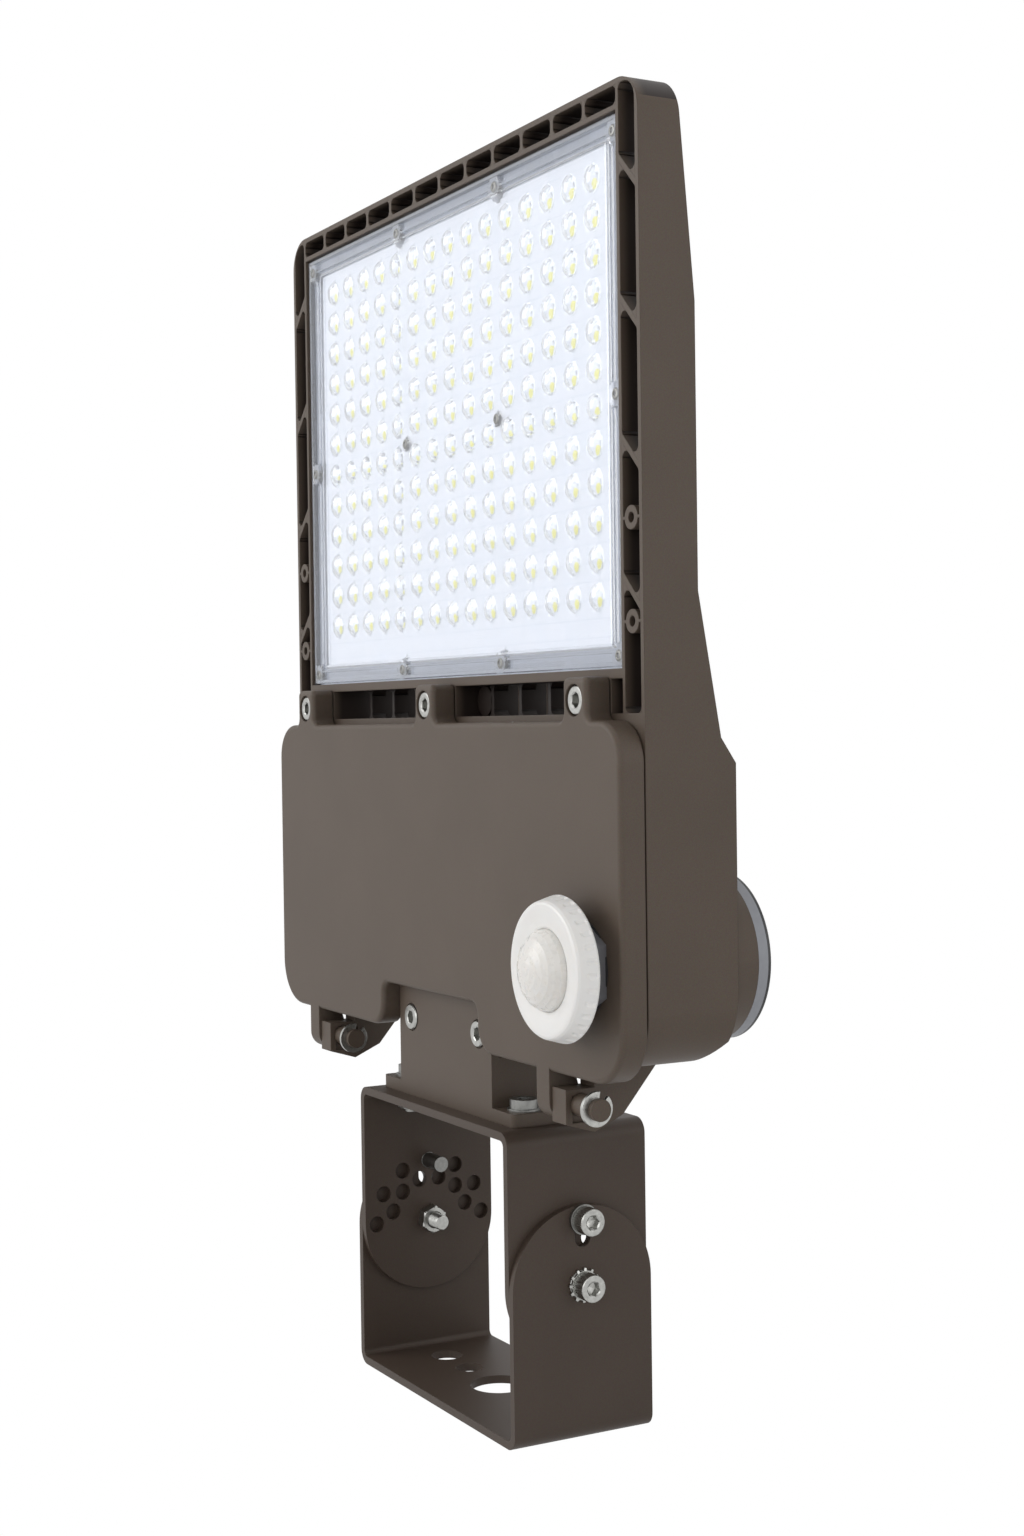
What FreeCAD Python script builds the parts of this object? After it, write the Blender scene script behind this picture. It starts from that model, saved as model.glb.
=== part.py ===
import FreeCAD, Part
import Sketcher
import math
import os
from types import SimpleNamespace
from FreeCAD import Placement, Rotation, Vector

# Shoebox area light on a slotted yoke. Millimetres, +Z up, lens facing -Y. The origin is the
# centre of the underside of the lower yoke's base, which bolts to the pole or wall.

doc = FreeCAD.newDocument("area_light")

# ---------------------------------------------------------------- driving sizes
SIZES = [
    # yoke
    ("yoke_plate", 4.0, "thickness of both yoke plates"),
    ("yoke_depth", 75.0, "yoke width along Y"),
    ("lower_width", 170.0, "outside width of the lower yoke"),
    ("pivot_height", 73.5, "pivot axis above the base"),
    ("yoke_rise", 74.0, "top of the upper yoke above the pivot"),
    ("bend_outer", 7.0, "outer radius of the yoke bends"),
    ("bend_inner", 3.0, "inner radius of the yoke bends"),
    ("outer_row", 31.0, "radius of the outer row of lock holes"),
    ("inner_row", 22.0, "radius of the inner row of lock holes"),
    ("lock_step", 30.0, "angle between the lock holes of one row"),
    ("bolt_hole", 8.4, "clearance hole for the yoke bolts"),
    ("base_wire_hole", 29.0, "centre hole of the base"),
    ("base_near_hole", 14.0, "nearer pair of base holes"),
    ("base_near_spacing", 66.0, "distance between the nearer pair"),
    ("base_far_hole", 16.5, "farther pair of base holes"),
    ("base_far_spacing", 117.0, "distance between the farther pair"),
    ("plate_wire_hole", 30.0, "wire hole of the upper yoke's plate"),
    # large bolts
    ("bolt_dia", 8.0, "thread of the large bolts"),
    ("bolt_head_dia", 13.0, "head of the large bolts"),
    ("bolt_head", 8.0, "head height of the large bolts"),
    ("bolt_socket", 6.0, "hexagon socket across flats"),
    ("bolt_length", 25.0, "length of the yoke bolts under the head"),
    ("washer", 2.0, "thickness of the spring and star washers"),
    ("washer_dia", 14.4, "outside of the spring washers"),
    ("star_dia", 16.4, "outside of the star washers"),
    ("star_teeth", 12.0, "teeth of a star washer"),
    ("nut_flats", 13.0, "nut across flats"),
    ("nut_height", 6.5, "nut height"),
    ("slip", 0.05, "radial running fit of a shaft in its hole"),
    ("face_gap", 0.3, "gap between the two parts of a lock bolt"),
    # housing
    ("front_stand", 24.5, "lens frame in front of the pivot axis"),
    ("saddle_height", 104.5, "underside of the arm saddle above the pivot"),
    ("saddle_drop", 10.0, "arm saddle below the housing"),
    ("saddle_half", 46.0, "half width of the arm saddle"),
    ("saddle_depth", 38.5, "depth of the arm saddle"),
    ("wire_way", 17.0, "wire hole of the arm saddle"),
    ("wire_inset", 12.0, "wire hole in front of the saddle's back"),
    ("boss_setback", 1.0, "accessory bosses short of the housing's back"),
    ("housing_width", 369.0, "housing width"),
    ("housing_height", 423.0, "housing height"),
    ("bay_height", 150.0, "height of the driver bay"),
    ("top_depth", 19.5, "housing depth at its top edge"),
    ("sink_depth", 27.5, "housing depth behind the LEDs"),
    ("shoulder_depth", 38.5, "housing depth at the shoulder"),
    ("bay_depth", 46.0, "housing depth at the driver bay"),
    ("foot_depth", 43.5, "housing depth at its lower edge"),
    ("taper_drop", 95.0, "length of the taper below the top edge"),
    ("shoulder_rise", 55.0, "start of the shoulder above the bay"),
    ("shoulder_drop", 8.0, "end of the shoulder below the bay's top"),
    ("step_drop", 19.0, "end of the step below the bay's top"),
    ("top_corner", 16.0, "radius of the upper corners"),
    ("bottom_corner", 24.0, "radius of the lower corners"),
    ("back_corner", 10.0, "radius of the lower rear edge"),
    ("rim_wall", 2.6, "outer wall of the lens frame"),
    ("seat_wall", 2.3, "wall between the lens and the open cells"),
    ("rib", 2.6, "thickness of the frame ribs"),
    ("cell_pitch", 28.05, "pitch of the frame ribs"),
    ("corner_cell", 9.0, "outer corner of the cells in the upper corners"),
    ("diagonal_pitch", 59.3, "pitch of the diagonal ribs"),
    ("diagonal_drop", 40.5, "highest diagonal rib below the top edge"),
    ("boss_low", 42.0, "lower accessory boss above the bay"),
    ("boss_spacing", 44.0, "distance between the accessory bosses"),
    ("boss_dia", 10.4, "outside of the accessory bosses"),
    ("boss_hole", 4.6, "hole of the accessory bosses"),
    ("slot_row_rise", 3.0, "row of open slots above the bay"),
    ("slot_row_height", 15.0, "height of the row of open slots"),
    ("slot_setback", 11.0, "ribs of the slot row behind the front"),
    ("plate_depth", 13.5, "back of the LED plate behind the front"),
    ("fin", 2.2, "thickness of a cooling fin"),
    ("fin_half", 11.0, "fins on each side of the middle one"),
    ("bay_wall", 8.0, "side walls of the driver bay"),
    ("bay_floor", 10.0, "floor of the driver bay"),
    ("bay_back", 3.5, "back wall of the driver bay"),
    ("bay_corner", 12.0, "corner radius inside the bay"),
    # lens and LEDs
    ("side_margin", 18.5, "lens edge inside the housing's side"),
    ("top_margin", 13.7, "lens edge below the housing's top"),
    ("lens_rise", 23.0, "lens edge above the bay"),
    ("lens_play", 0.7, "play round the lens"),
    ("lens_setback", 1.3, "lens rim behind the frame"),
    ("lens_rim", 3.7, "thickness of the lens rim"),
    ("lens_corner", 4.0, "corner radius of the lens"),
    ("lens_field", 1.6, "thickness of the lens between its optics"),
    ("lens_border", 14.5, "width of the stepped lens border"),
    ("gasket_height", 1.5, "height of the lens gasket"),
    ("ledge", 9.5, "width of the ledge under the lens"),
    ("board", 1.6, "thickness of the LED board"),
    ("board_play", 0.5, "play round the LED board"),
    ("chip", 3.0, "side of an LED"),
    ("chip_height", 0.7, "height of an LED"),
    ("column_pitch", 19.86, "distance between LED columns"),
    ("row_pitch", 16.65, "distance between LED rows"),
    ("columns", 15.0, "LED columns"),
    ("rows", 12.0, "LED rows"),
    ("first_row_drop", 37.4, "first LED row below the top edge"),
    ("small_screw", 3.4, "thread of the lens screws"),
    ("small_head_dia", 7.0, "head of the lens screws"),
    ("small_head", 2.0, "head height of the lens screws"),
    ("small_length", 8.0, "length of the lens screws"),
    ("lens_screw_inset", 4.9, "lens screws inside the lens edge"),
    ("lens_screw_top", 6.6, "upper lens screws below the lens edge"),
    ("lens_screw_third", 53.5, "inner lens screws from the middle"),
    # door
    ("door_depth", 13.0, "front of the door before the frame"),
    ("door_drop", 6.0, "door below the housing"),
    ("door_gap", 0.8, "gap between door and housing"),
    ("door_wall", 3.2, "wall of the door"),
    ("door_rim", 7.0, "solid rim of the door"),
    ("door_top_corner", 18.0, "upper corner radius of the door"),
    ("door_round", 2.5, "front edge radius of the door"),
    ("notch_half", 52.0, "half width of the arm notch"),
    ("notch_height", 23.0, "height of the arm notch"),
    ("notch_inner", 6.0, "inner corners of the notch"),
    ("notch_outer", 13.0, "outer corners of the notch"),
    ("seal_band", 12.0, "housing wall round the arm notch"),
    ("lug_root", 4.0, "rounding where a lug meets the door"),
    ("lug_corner", 3.0, "corners of a lug"),
    ("lug_spacing", 147.3, "outer lugs from the middle"),
    ("lug_width", 20.0, "width of a lug"),
    ("lug_height", 19.0, "height of a lug above the door"),
    ("lug_screw_rise", 9.0, "lug screws above the door"),
    ("lug_screw_length", 16.0, "length of the lug screws"),
    ("head_sink", 0.6, "lug screw heads below the lug"),
    ("head_play", 0.6, "radial play round a sunk head"),
    ("lug_hole", 9.6, "hole that a swinging lug screw leaves"),
    ("door_gasket", 3.0, "width of the door gasket"),
    ("gasket_sink", 2.0, "door gasket groove depth"),
    ("gasket_inset", 2.6, "door gasket inside the housing edge"),
    # hinge
    ("hinge_spacing", 256.0, "distance between the two hinge ears"),
    ("ear", 12.2, "width of a hinge ear"),
    ("strap", 11.4, "width of a door strap"),
    ("strap_gap", 0.4, "gap between strap and ear"),
    ("hinge_forward", 29.0, "hinge pin in front of the pivot axis"),
    ("hinge_drop", 19.5, "hinge pin below the housing"),
    ("pin_dia", 10.0, "hinge pin"),
    ("pin_out", 18.0, "hinge pin beyond the ear"),
    ("pin_head_dia", 13.0, "head of the hinge pin"),
    ("pin_head", 1.5, "head height of the hinge pin"),
    ("strap_radius", 8.5, "rounded end of a strap"),
    ("ring_wire", 1.7, "wire of a retaining ring"),
    ("ring_dia", 15.6, "outside of a retaining ring"),
    ("ring_groove", 1.0, "depth of the ring groove"),
    ("ring_back", 3.2, "ring groove from the pin's end"),
    ("ear_top", 7.0, "ear above the pin"),
    ("ear_front", 7.3, "ear in front of the pin"),
    ("ear_under", 8.5, "ear's front corner below the pin"),
    ("gusset_bottom", 13.0, "gusset below the pin"),
    ("gusset_back", 22.0, "gusset's rear corner behind the pin"),
    ("gusset_reach", 45.0, "gusset's root behind the pin"),
    ("ear_recess", 2.0, "recess in the ear's side"),
    # motion sensor
    ("sensor_right", 152.5, "sensor from the middle"),
    ("sensor_rise", 43.5, "sensor above the housing's lower edge"),
    ("sensor_nut_flats", 39.5, "sensor nut across flats"),
    ("sensor_nut", 4.5, "sensor nut height"),
    ("sensor_thread", 20.0, "sensor thread"),
    ("sensor_neck", 5.5, "distance from the nut to the bezel"),
    ("sensor_back_dia", 64.0, "bezel at its back"),
    ("sensor_front_dia", 58.4, "bezel at its front"),
    ("sensor_bezel", 10.0, "bezel height"),
    ("sensor_body_dia", 44.0, "body behind the bezel"),
    ("sensor_notches", 30.0, "grip notches of the bezel"),
    ("dome_dia", 36.0, "sensor dome"),
    ("dome_height", 10.0, "height of the sensor dome"),
    ("inner_nut_flats", 27.0, "inner sensor nut across flats"),
    ("inner_nut", 4.0, "inner sensor nut height"),
    # photocontrol receptacle
    ("cell_right", 143.0, "receptacle from the middle"),
    ("cell_boss_foot", 79.0, "foot of the receptacle boss"),
    ("cell_boss_top", 75.6, "top of the receptacle boss"),
    ("cell_boss_height", 13.5, "height of the receptacle boss"),
    ("cell_bore", 60.0, "bore of the receptacle boss"),
    ("cell_gasket", 5.0, "thickness of the receptacle gasket"),
    ("cell_flange", 1.4, "flange of the receptacle"),
    ("cell_body_dia", 58.0, "body of the receptacle"),
    ("cell_body", 26.0, "length of the receptacle body"),
    ("cell_slot_radius", 17.0, "radius of the contact slots"),
    ("cell_slot", 3.0, "width of a contact slot"),
    ("cell_slot_depth", 12.0, "depth of a contact slot"),
    ("cell_slot_angle", 44.0, "length of a contact slot in degrees"),
    ("cell_screw_radius", 33.0, "receptacle screws from the centre"),
    # arm
    ("arm_half", 50.0, "half width of the arm"),
    ("arm_front", 4.0, "thickness of the arm's front plate"),
    ("arm_wall", 4.0, "walls of the arm"),
    ("arm_top", 56.0, "height of the arm's front plate"),
    ("arm_flange", 6.5, "thickness of the arm's flange"),
    ("arm_flange_half", 71.0, "half width of the arm's flange"),
    ("arm_flange_back", 28.5, "arm's flange behind the pivot axis"),
    ("arm_bolt_x", 61.0, "flange bolts from the middle"),
    ("arm_bolt_y", 17.0, "flange bolts before and behind the axis"),
    ("arm_screw_x", 36.5, "front screws from the middle"),
    ("arm_screw_length", 16.0, "length of the front screws"),
    ("arm_screw_head", 2.0, "head height of the front screws"),
    ("arm_sink", 1.0, "depth of the seat under the front screws"),
    ("flange_bolt_length", 20.0, "length of the flange bolts"),
    ("button_dia", 14.0, "head of the flange bolts"),
    ("button_head", 4.4, "head height of the flange bolts"),
    # driver and wiring parts
    ("driver_length", 228.0, "LED driver length"),
    ("driver_height", 62.0, "LED driver height"),
    ("driver_depth", 34.0, "LED driver depth"),
    ("driver_left", 164.0, "left end of the driver from the middle"),
    ("driver_lift", 4.0, "driver above the saddle block"),
    ("foot", 9.0, "length of a driver foot"),
    ("foot_thick", 2.0, "thickness of a driver foot"),
    ("surge_width", 36.0, "surge protector width"),
    ("surge_height", 52.0, "surge protector height"),
    ("surge_depth", 24.0, "surge protector depth"),
    ("block_width", 34.0, "terminal block width"),
    ("block_height", 20.0, "terminal block height"),
    ("block_depth", 18.0, "terminal block depth"),
]

sheet = doc.addObject("Spreadsheet::Sheet", "dims")
for index, (name, value, note) in enumerate(SIZES, start=1):
    sheet.set("A%d" % index, name)
    sheet.set("B%d" % index, str(value))
    sheet.set("C%d" % index, note)
    sheet.setAlias("B%d" % index, name)
doc.recompute()


class Size:
    """A length, angle or count: its present value, and the formula that ties it to the sheet."""

    def __init__(self, value, text):
        self.value = value
        self.text = text

    def __add__(self, other):
        other = as_size(other)
        return Size(self.value + other.value, "(%s + %s)" % (self.text, other.text))

    def __sub__(self, other):
        other = as_size(other)
        return Size(self.value - other.value, "(%s - %s)" % (self.text, other.text))

    def __mul__(self, other):
        other = as_size(other)
        return Size(self.value * other.value, "(%s * %s)" % (self.text, other.text))

    def __truediv__(self, other):
        other = as_size(other)
        return Size(self.value / other.value, "(%s / %s)" % (self.text, other.text))

    def __neg__(self):
        return Size(-self.value, "(0 - %s)" % self.text)

    __radd__ = __add__

    def __rsub__(self, other):
        return as_size(other) - self

    __rmul__ = __mul__


def as_size(number):
    return number if isinstance(number, Size) else Size(float(number), repr(float(number)))


d = SimpleNamespace(**{name: Size(value, "dims." + name) for name, value, note in SIZES})
ZERO = as_size(0)


def bind(thing, prop, size):
    """Set a property and tie it to the sheet."""
    size = as_size(size)
    whole = isinstance(getattr(thing, prop), int)
    setattr(thing, prop, int(size.value) if whole else size.value)
    thing.setExpression(prop, size.text)


# ---------------------------------------------------------------- building blocks
NORMAL = {"XY_Plane": 1, "XZ_Plane": -1, "YZ_Plane": 1}


def hold(sketch, geometry, point, x, y):
    """Hold one point of a sketch at x, y from the sketch's origin."""
    for kind, size in (("DistanceX", as_size(x)), ("DistanceY", as_size(y))):
        index = sketch.addConstraint(Sketcher.Constraint(kind, -1, 1, geometry, point, size.value))
        sketch.setExpression("Constraints[%d]" % index, size.text)


def loop(sketch, corners):
    """A closed outline. A corner between level and upright edges may name its radius."""
    points = [(as_size(c[0]), as_size(c[1]), as_size(c[2]) if len(c) > 2 else None) for c in corners]
    count = len(points)
    ends = []
    for index, (x, y, radius) in enumerate(points):
        if radius is None:
            ends.append(((x, y), (x, y)))
            continue
        before, after = points[index - 1], points[(index + 1) % count]
        arrive = (sign_of(x - before[0]), sign_of(y - before[1]))
        leave = (sign_of(after[0] - x), sign_of(after[1] - y))
        start = (x - radius * arrive[0], y - radius * arrive[1])
        end = (x + radius * leave[0], y + radius * leave[1])
        centre = (start[0] + radius * leave[0], start[1] + radius * leave[1])
        ends.append((start, end, centre, radius))
    edges = []
    for index in range(count):
        start, end = ends[index][1], ends[(index + 1) % count][0]
        edge = sketch.addGeometry(Part.LineSegment(flat(*start), flat(*end)))
        edges.append((edge, 1, edge, 2))
    for index in range(count):
        arriving, leaving = edges[index - 1], edges[index]
        if len(ends[index]) == 2:
            sketch.addConstraint(Sketcher.Constraint("Coincident", arriving[2], 2, leaving[0], 1))
            hold(sketch, leaving[0], 1, *ends[index][0])
            continue
        start, end, centre, radius = ends[index]
        hub = flat(*centre)
        middle_of_arc = (flat(*start) + flat(*end)) / 2 - hub
        middle_of_arc.normalize()
        middle_of_arc = hub + middle_of_arc * radius.value
        leftward = (flat(*start) - hub).cross(flat(*end) - hub).z > 0
        first, last = (1, 2) if leftward else (2, 1)
        tips = (start, end) if leftward else (end, start)
        arc = sketch.addGeometry(Part.Arc(flat(*tips[0]), middle_of_arc, flat(*tips[1])))
        sketch.addConstraint(Sketcher.Constraint("Coincident", arriving[2], 2, arc, first))
        sketch.addConstraint(Sketcher.Constraint("Coincident", arc, last, leaving[0], 1))
        hold(sketch, arc, first, *start)
        hold(sketch, arc, last, *end)
        tie = sketch.addConstraint(Sketcher.Constraint("DistanceX", -1, 1, arc, 3, centre[0].value))
        sketch.setExpression("Constraints[%d]" % tie, centre[0].text)


def sign_of(size):
    return (size.value > 1e-9) - (size.value < -1e-9)


def flat(x, y):
    return Vector(x.value, y.value, 0)


def box(sketch, x0, x1, y0, y1, radius=None):
    """A rectangle, with rounded corners where a radius is given."""
    extra = () if radius is None else (radius,)
    loop(sketch, [(x0, y0) + extra, (x1, y0) + extra, (x1, y1) + extra, (x0, y1) + extra])


def circle(sketch, x, y, radius):
    x, y, radius = as_size(x), as_size(y), as_size(radius)
    index = sketch.addGeometry(Part.Circle(Vector(x.value, y.value, 0), Vector(0, 0, 1), radius.value))
    hold(sketch, index, 3, x, y)
    tie = sketch.addConstraint(Sketcher.Constraint("Radius", index, radius.value))
    sketch.setExpression("Constraints[%d]" % tie, radius.text)


def tongue(sketch, half, flat, centre, upwards):
    """A strip from the height flat to a half-round end about the height centre."""
    turn = 1 if upwards else -1
    left, right = (-half.value, centre.value), (half.value, centre.value)
    foot_left, foot_right = (-half.value, flat.value), (half.value, flat.value)
    for start, end in ((left, foot_left), (foot_left, foot_right), (foot_right, right)):
        sketch.addGeometry(Part.LineSegment(Vector(*start, 0), Vector(*end, 0)))
    middle = Vector(0, centre.value + turn * half.value, 0)
    sketch.addGeometry(Part.Arc(Vector(*right, 0), middle, Vector(*left, 0)))
    arc = 3
    right_end, left_end = (1, 2) if upwards else (2, 1)
    sketch.addConstraint(Sketcher.Constraint("Coincident", 0, 2, 1, 1))
    sketch.addConstraint(Sketcher.Constraint("Coincident", 1, 2, 2, 1))
    sketch.addConstraint(Sketcher.Constraint("Coincident", 2, 2, arc, right_end))
    sketch.addConstraint(Sketcher.Constraint("Coincident", arc, left_end, 0, 1))
    hold(sketch, 1, 1, -half, flat)
    hold(sketch, 1, 2, half, flat)
    hold(sketch, 0, 1, -half, centre)
    hold(sketch, 2, 2, half, centre)
    index = sketch.addConstraint(Sketcher.Constraint("DistanceY", -1, 1, arc, 3, centre.value))
    sketch.setExpression("Constraints[%d]" % index, centre.text)


class Piece:
    """One rigid piece, built up as a body whose sketches and features follow the sheet."""

    def __init__(self, label):
        self.body = doc.addObject("PartDesign::Body", label)
        self.body.Label = label
        self.role = {}

    def datum(self, role):
        return [part for part in self.body.Origin.OriginFeatures if part.Role == role][0]

    def sketch(self, name, role, at=ZERO):
        """A sketch in a plane across X, Y or Z, at the given distance from the origin."""
        sketch = self.body.newObject("Sketcher::SketchObject", name)
        sketch.AttachmentSupport = (self.datum(role), [""])
        sketch.MapMode = "FlatFace"
        offset = as_size(at) * NORMAL[role]
        sketch.AttachmentOffset = Placement(Vector(0, 0, offset.value), Rotation())
        sketch.setExpression(".AttachmentOffset.Base.z", offset.text)
        self.role[sketch.Name] = role
        return sketch

    def volume(self):
        tip = self.body.Tip
        if tip is None or tip.Shape.isNull():
            return 0.0
        return tip.Shape.Volume

    def settle(self, feature, before, sign):
        """Make the feature the piece's last one and see that it added or removed material."""
        self.body.Tip = feature
        doc.recompute()
        if (feature.Shape.Volume - before) * sign <= 0:
            raise ValueError("%s has no effect" % feature.Label)
        return feature

    def pad(self, name, sketch, length, towards=1, both=False):
        before = self.volume()
        pad = self.body.newObject("PartDesign::Pad", name)
        pad.Profile = sketch
        bind(pad, "Length", length)
        if both:
            pad.SideType = "Symmetric"
        pad.Reversed = towards * NORMAL[self.role[sketch.Name]] < 0
        return self.settle(pad, before, 1)

    def cut(self, name, sketch, length=None, towards=1, both=False):
        """Cut along +axis or -axis, by a length or right through."""
        before = self.volume()
        cut = self.body.newObject("PartDesign::Pocket", name)
        cut.Profile = sketch
        if length is None:
            cut.Type = "ThroughAll"
        else:
            bind(cut, "Length", length)
        if both:
            cut.SideType = "Symmetric"
        cut.Reversed = towards * NORMAL[self.role[sketch.Name]] > 0
        return self.settle(cut, before, -1)

    def revolve(self, name, sketch, axis="V_Axis"):
        before = self.volume()
        turn = self.body.newObject("PartDesign::Revolution", name)
        turn.Profile = sketch
        turn.ReferenceAxis = (sketch, [axis])
        turn.Angle = 360
        return self.settle(turn, before, 1)

    def row(self, name, features, axis, length, count, towards=1):
        before = self.volume()
        row = self.body.newObject("PartDesign::LinearPattern", name)
        row.Originals = features
        row.Direction = (self.datum(axis), [""])
        row.Reversed = towards < 0
        bind(row, "Length", length)
        bind(row, "Occurrences", count)
        sign = 1 if features[0].TypeId == "PartDesign::Pad" else -1
        return self.settle(row, before, sign)

    def mirror(self, name, features, role):
        before = self.volume()
        mirror = self.body.newObject("PartDesign::Mirrored", name)
        mirror.Originals = features
        mirror.MirrorPlane = (self.datum(role), [""])
        sign = 1 if features[0].TypeId == "PartDesign::Pad" else -1
        return self.settle(mirror, before, sign)

    def ring(self, name, features, axis, count):
        before = self.volume()
        ring = self.body.newObject("PartDesign::PolarPattern", name)
        ring.Originals = features
        ring.Axis = axis
        ring.Angle = 360
        bind(ring, "Occurrences", count)
        sign = 1 if features[0].TypeId == "PartDesign::Pad" else -1
        return self.settle(ring, before, sign)

    def fillet(self, name, radius, chosen):
        """Round the edges of the last feature that chosen picks."""
        base = self.body.Tip
        edges = base.Shape.Edges
        names = ["Edge%d" % (index + 1) for index, edge in enumerate(edges) if chosen(edge)]
        if not names:
            raise ValueError("%s finds no edge" % name)
        fillet = self.body.newObject("PartDesign::Fillet", name)
        fillet.Base = (base, names)
        bind(fillet, "Radius", radius)
        self.body.Tip = fillet
        doc.recompute()
        return fillet


def runs_along(edge, axis):
    """True for a straight edge parallel to X, Y or Z."""
    if edge.Curve.TypeId != "Part::GeomLine":
        return False
    return abs(abs(getattr(edge.Curve.Direction, axis)) - 1) < 1e-6


def near(value, target, slack=0.01):
    return abs(value - target) < slack


def middle(edge):
    return edge.CenterOfMass


def primitive(kind, label, **sizes):
    """A Part primitive whose named sizes follow the sheet."""
    thing = doc.addObject("Part::" + kind, label)
    for prop, size in sizes.items():
        bind(thing, prop, size)
    return thing


def lift(thing, z):
    """Raise a primitive along its own axis."""
    z = as_size(z)
    thing.Placement = Placement(Vector(0, 0, z.value), Rotation())
    thing.setExpression(".Placement.Base.z", z.text)
    return thing


def fuse(label, *things):
    join = doc.addObject("Part::MultiFuse", label)
    join.Shapes = list(things)
    return join


def cut_from(label, base, tool):
    cut = doc.addObject("Part::Cut", label)
    cut.Base = base
    cut.Tool = tool
    return cut


def hexagon(label, flats, height):
    """A hexagonal prism, given across its flats."""
    prism = doc.addObject("Part::Prism", label)
    prism.Polygon = 6
    bind(prism, "Circumradius", flats / math.sqrt(3))
    bind(prism, "Height", height)
    return prism


def socket_screw(label, head_dia, head, shank_dia, length, socket):
    """Cap screw along Z: the head stands on z = 0 and the shank hangs below."""
    top = primitive("Cylinder", label + "_head", Radius=head_dia / 2, Height=head)
    shank = primitive("Cylinder", label + "_shank", Radius=shank_dia / 2, Height=length)
    lift(shank, -length)
    well = lift(hexagon(label + "_well", socket, head), head / 2)
    return cut_from(label + "_solid", fuse(label + "_join", top, shank), well)


def hex_nut(label, flats, height, bore_dia):
    """Nut along Z with its face on z = 0."""
    outer = hexagon(label + "_outer", flats, height)
    bore = primitive("Cylinder", label + "_bore", Radius=bore_dia / 2, Height=height)
    return cut_from(label + "_solid", outer, bore)


def group(label, source, places):
    """Separate copies of one shape, each at its own place, under one label."""
    doc.recompute()
    copies = []
    for place in places:
        copy = source.Shape.copy()
        copy.Placement = place.multiply(copy.Placement)
        copies.append(copy)
    feature = doc.addObject("Part::Feature", label)
    feature.Label = label
    feature.Shape = Part.makeCompound(copies)
    return feature


def at(x, y, z, rotation=None):
    """A placement from sheet sizes, read when it is made."""
    x, y, z = as_size(x), as_size(y), as_size(z)
    return Placement(Vector(x.value, y.value, z.value), rotation or Rotation())


FACE_FRONT = Rotation(Vector(1, 0, 0), 90)
FACE_BACK = Rotation(Vector(1, 0, 0), -90)
FACE_RIGHT = Rotation(Vector(0, 1, 0), 90)
FACE_LEFT = Rotation(Vector(0, 1, 0), -90)
nodes = []

# ---------------------------------------------------------------- stations shared by the pieces
half_yoke = d.yoke_depth / 2
lower_half = d.lower_width / 2
upper_half = lower_half - d.yoke_plate
plate_top = d.pivot_height + d.yoke_rise
front = -d.front_stand
saddle_z = d.pivot_height + d.saddle_height
base_z = saddle_z + d.saddle_drop
top_z = base_z + d.housing_height
bay_top = base_z + d.bay_height
half = d.housing_width / 2
lens_half = half - d.side_margin
lens_top = top_z - d.top_margin
lens_bottom = bay_top + d.lens_rise
seat_half = lens_half + d.lens_play
seat_top = lens_top + d.lens_play
seat_bottom = lens_bottom - d.lens_play
cell_in = seat_half + d.seat_wall
cell_out = half - d.rim_wall
plate_back = front + d.plate_depth
lens_front = front + d.lens_setback
field_front = lens_front + d.lens_rim - d.lens_field
ledge_y = lens_front + d.lens_rim + d.gasket_height
door_front = front - d.door_depth
door_back = front - d.door_gap
door_bottom = base_z - d.door_drop
pin_y = -d.hinge_forward
pin_z = base_z - d.hinge_drop
sensor_z = base_z + d.sensor_rise
screw_z = base_z
bay_back = front + d.bay_depth - d.bay_back
bay_low = base_z + d.bay_floor
bay_roof = bay_top - d.bay_floor
bay_half = half - d.bay_wall
notch_top = door_bottom + d.notch_height
saddle_rise = notch_top + d.seal_band
inner_inset = d.gasket_inset + d.door_gasket
cell_z = sensor_z
cell_face = front + d.bay_depth + d.cell_boss_height
board_half = seat_half - d.ledge
board_floor = ledge_y + d.board
column_bottom = bay_top + d.slot_row_rise
slot_top = column_bottom + d.slot_row_height
lug_z = bay_top + d.lug_screw_rise
lug_places = [(d.lug_spacing * place, lug_z) for place in (-1, 0, 1)]
lens_screw_x = lens_half - d.lens_screw_inset
lens_screw_high = lens_top - d.lens_screw_top
lens_screw_low = lens_bottom + d.lens_screw_inset
lens_screw_mid = (lens_screw_high + lens_screw_low) / 2
first_column = -d.column_pitch * (d.columns - 1) / 2
first_row = top_z - d.first_row_drop
lens_places = []
centre_places = []
for side in (-1, 1):
    for height in (lens_screw_high, lens_screw_low):
        lens_places.append((lens_screw_x * side, height))
        lens_places.append((d.lens_screw_third * side, height))
    lens_places.append((lens_screw_x * side, lens_screw_mid))
    centre_places.append((d.column_pitch * 2.5 * side, first_row - d.row_pitch * (d.rows - 1) / 2))
tap = d.small_screw / 2 + d.slip


def seal_loop(sketch, inset, corner):
    """An outline inside the door flange, led over the arm notch."""
    left, right = -half + inset, half - inset
    low, high = base_z + inset, bay_top - inset
    notch_left, notch_right = -d.notch_half - inset, d.notch_half + inset
    over = notch_top + inset
    loop(sketch, [
        (left, low, corner), (notch_left, low), (notch_left, over), (notch_right, over),
        (notch_right, low), (right, low, corner), (right, high, corner), (left, high, corner),
    ])


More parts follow.
